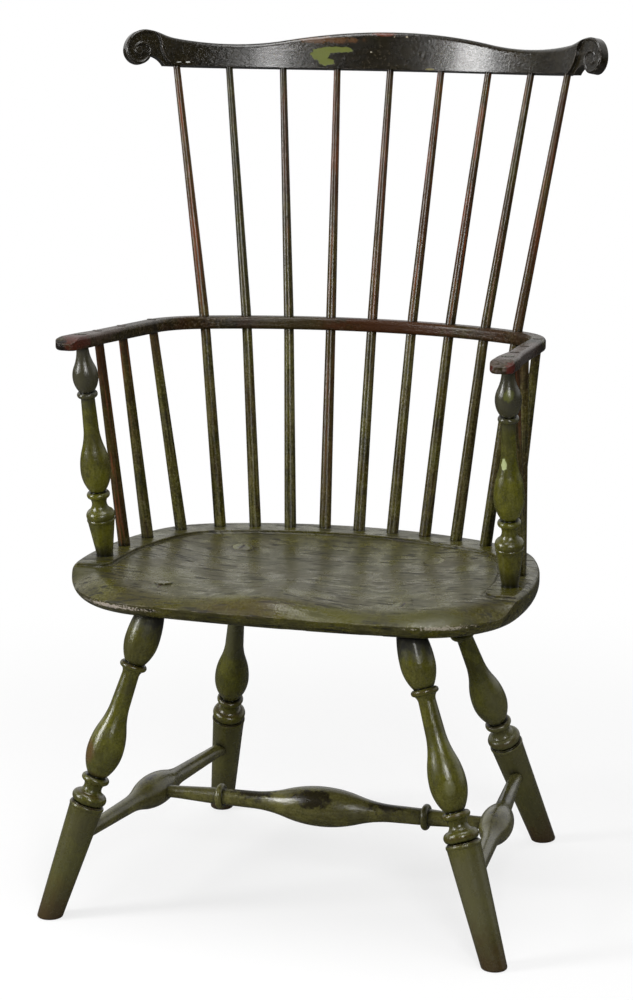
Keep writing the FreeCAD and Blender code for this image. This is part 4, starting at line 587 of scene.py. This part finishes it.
spindleTint = {  # brown of each long spindle, and how far its streaks turn red
    "far_left_long": ((0.060, 0.022, 0.008), 0.9), "outer_left_long": ((0.020, 0.017, 0.010), 0.15),
    "middle_left_long": ((0.028, 0.020, 0.012), 0.3), "inner_left_long": ((0.036, 0.016, 0.006), 0.5),
    "centre_long": ((0.034, 0.018, 0.008), 0.5), "inner_right_long": ((0.038, 0.017, 0.006), 0.8),
    "middle_right_long": ((0.034, 0.016, 0.006), 0.9), "outer_right_long": ((0.030, 0.018, 0.006), 0.4),
    "far_right_long": ((0.046, 0.020, 0.008), 0.6),
}
for name, node in nodes.items():
    if not name.endswith("spindle"):
        continue
    finish = Finish(name + "_paint", longAxis(node), spindlePaint)
    place = name.replace("_spindle", "")
    start = brownFrom.get(place, spindleWear["brownFrom"])
    brown, redness = spindleTint.get(place, (spindleWear["brown"], spindleWear["reddened"]))
    worn = span(finish.tree, finish.rise(), start - spindleWear["fadeBelow"], start + spindleWear["fadeAbove"])
    drifting = span(finish.tree, finish.film["Drift"], *spindleWear["driftCut"])
    finish.over(calc(finish.tree, "MULTIPLY", worn, drifting), brown, spindleWear["browned"])
    streaked = span(finish.tree, finish.film["Streaks"], *spindleWear["redCut"])
    finish.over(calc(finish.tree, "MULTIPLY", worn, streaked), spindleWear["red"], redness)
    finish.hollows()
    finish.dress(node)

# wedges and pins
wedgePaint = dict(railPaint, dark=(0.006, 0.005, 0.003), mid=(0.018, 0.014, 0.008), pale=(0.04, 0.034, 0.022),
                  hollow=(0.003, 0.9))
for name in ("leg_wedges", "arm_wedges", "comb_pins"):
    finish = Finish(name + "_paint", Vector((0, 0, 1)), wedgePaint)
    finish.hollows()
    finish.dress(nodes[name])
print("finishes on", len(nodes), "nodes")

# pale studio floor: white to the camera, yet it keeps the chair's shadow
floorLook = {"reach": 14.0, "tone": 0.50, "shown": 1.0, "mirrored": 0.12, "whiteNear": 0.75, "whiteFar": 1.0,
             "fadeFrom": 0.55, "fadeTo": 1.5, "glow": 1.0}
mesh = bpy.data.meshes.new("floor")
bm = bmesh.new()
bmesh.ops.create_grid(bm, x_segments=1, y_segments=1, size=floorLook["reach"])
bm.to_mesh(mesh)
bm.free()
floor = bpy.data.objects.new("floor", mesh)
scene.collection.objects.link(floor)
floorMaterial = bpy.data.materials.new("floor_paper")
floorMaterial.use_nodes = True
tree = floorMaterial.node_tree
tree.nodes.remove(tree.nodes["Principled BSDF"])
rays = put(tree, "ShaderNodeLightPath").outputs
dim = pick(tree, rays["Is Glossy Ray"], floorLook["tone"], floorLook["mirrored"])
paper = put(tree, "ShaderNodeBsdfDiffuse", Color=pick(tree, rays["Is Camera Ray"], dim, floorLook["shown"]))
glow = put(tree, "ShaderNodeEmission", Color=(1, 1, 1, 1), Strength=floorLook["glow"])
away = vectorCalc(tree, "LENGTH", put(tree, "ShaderNodeTexCoord").outputs["Object"])["Value"]
whiter = span(tree, away, floorLook["fadeFrom"], floorLook["fadeTo"], floorLook["whiteNear"], floorLook["whiteFar"])
mixer = put(tree, "ShaderNodeMixShader", Fac=calc(tree, "MULTIPLY", rays["Is Camera Ray"], whiter))
tree.links.new(paper.outputs[0], mixer.inputs[1])
tree.links.new(glow.outputs[0], mixer.inputs[2])
tree.links.new(mixer.outputs[0], tree.nodes["Material Output"].inputs["Surface"])
mesh.materials.append(floorMaterial)

# world: white to the camera, and to the chair a room that is bright behind and dim in front
room = {"behind": 0.80, "front": 0.008, "depthSpan": (-0.1, 0.4), "above": 0.20, "aboveSpan": (0.55, 0.97),
        "low": 0.10, "lowSpan": (0.0, 0.10), "fill": 0.45, "shown": 1.0}
world = bpy.data.worlds.new("studio")
scene.world = world
world.use_nodes = True
tree = world.node_tree
ground = tree.nodes["Background"]
direction = put(tree, "ShaderNodeSeparateXYZ", Vector=put(tree, "ShaderNodeTexCoord").outputs["Generated"]).outputs
depth = span(tree, direction["Y"], *room["depthSpan"], room["front"], room["behind"])
level = span(tree, direction["Z"], *room["aboveSpan"], depth, room["above"])
skirted = calc(tree, "MULTIPLY", level, span(tree, direction["Z"], *room["lowSpan"], room["low"]))
rays = put(tree, "ShaderNodeLightPath").outputs
mirrored = pick(tree, rays["Is Glossy Ray"], calc(tree, "MULTIPLY", level, room["fill"]), skirted)
ground.inputs["Color"].default_value = (1, 1, 1, 1)
feed(tree, ground.inputs["Strength"], pick(tree, rays["Is Camera Ray"], mirrored, room["shown"]))

# soft boxes: one at the left front, one right of the camera, one overhead
softBoxes = [
    {"name": "leftBox", "place": (-2.60, -1.80, 1.68), "target": (0, 0, 0.75), "size": (0.8, 1.6), "power": 80},
    {"name": "rightBox", "place": (1.45, -2.85, 1.85), "target": (0, 0, 0.80), "size": (0.65, 1.1), "power": 48},
    {"name": "topBox", "place": (0.1, -0.4, 3.2), "target": (0, 0, 0.4), "size": (1.4, 1.4), "power": 46},
]
for box in softBoxes:
    lamp = bpy.data.lights.new(box["name"], "AREA")
    lamp.shape = "RECTANGLE"
    lamp.size, lamp.size_y = box["size"]
    lamp.energy = box["power"]
    holder = bpy.data.objects.new(box["name"], lamp)
    holder.location = box["place"]
    holder.rotation_euler = (Vector(box["target"]) - Vector(box["place"])).to_track_quat("-Z", "Y").to_euler()
    scene.collection.objects.link(holder)
print("studio lit")
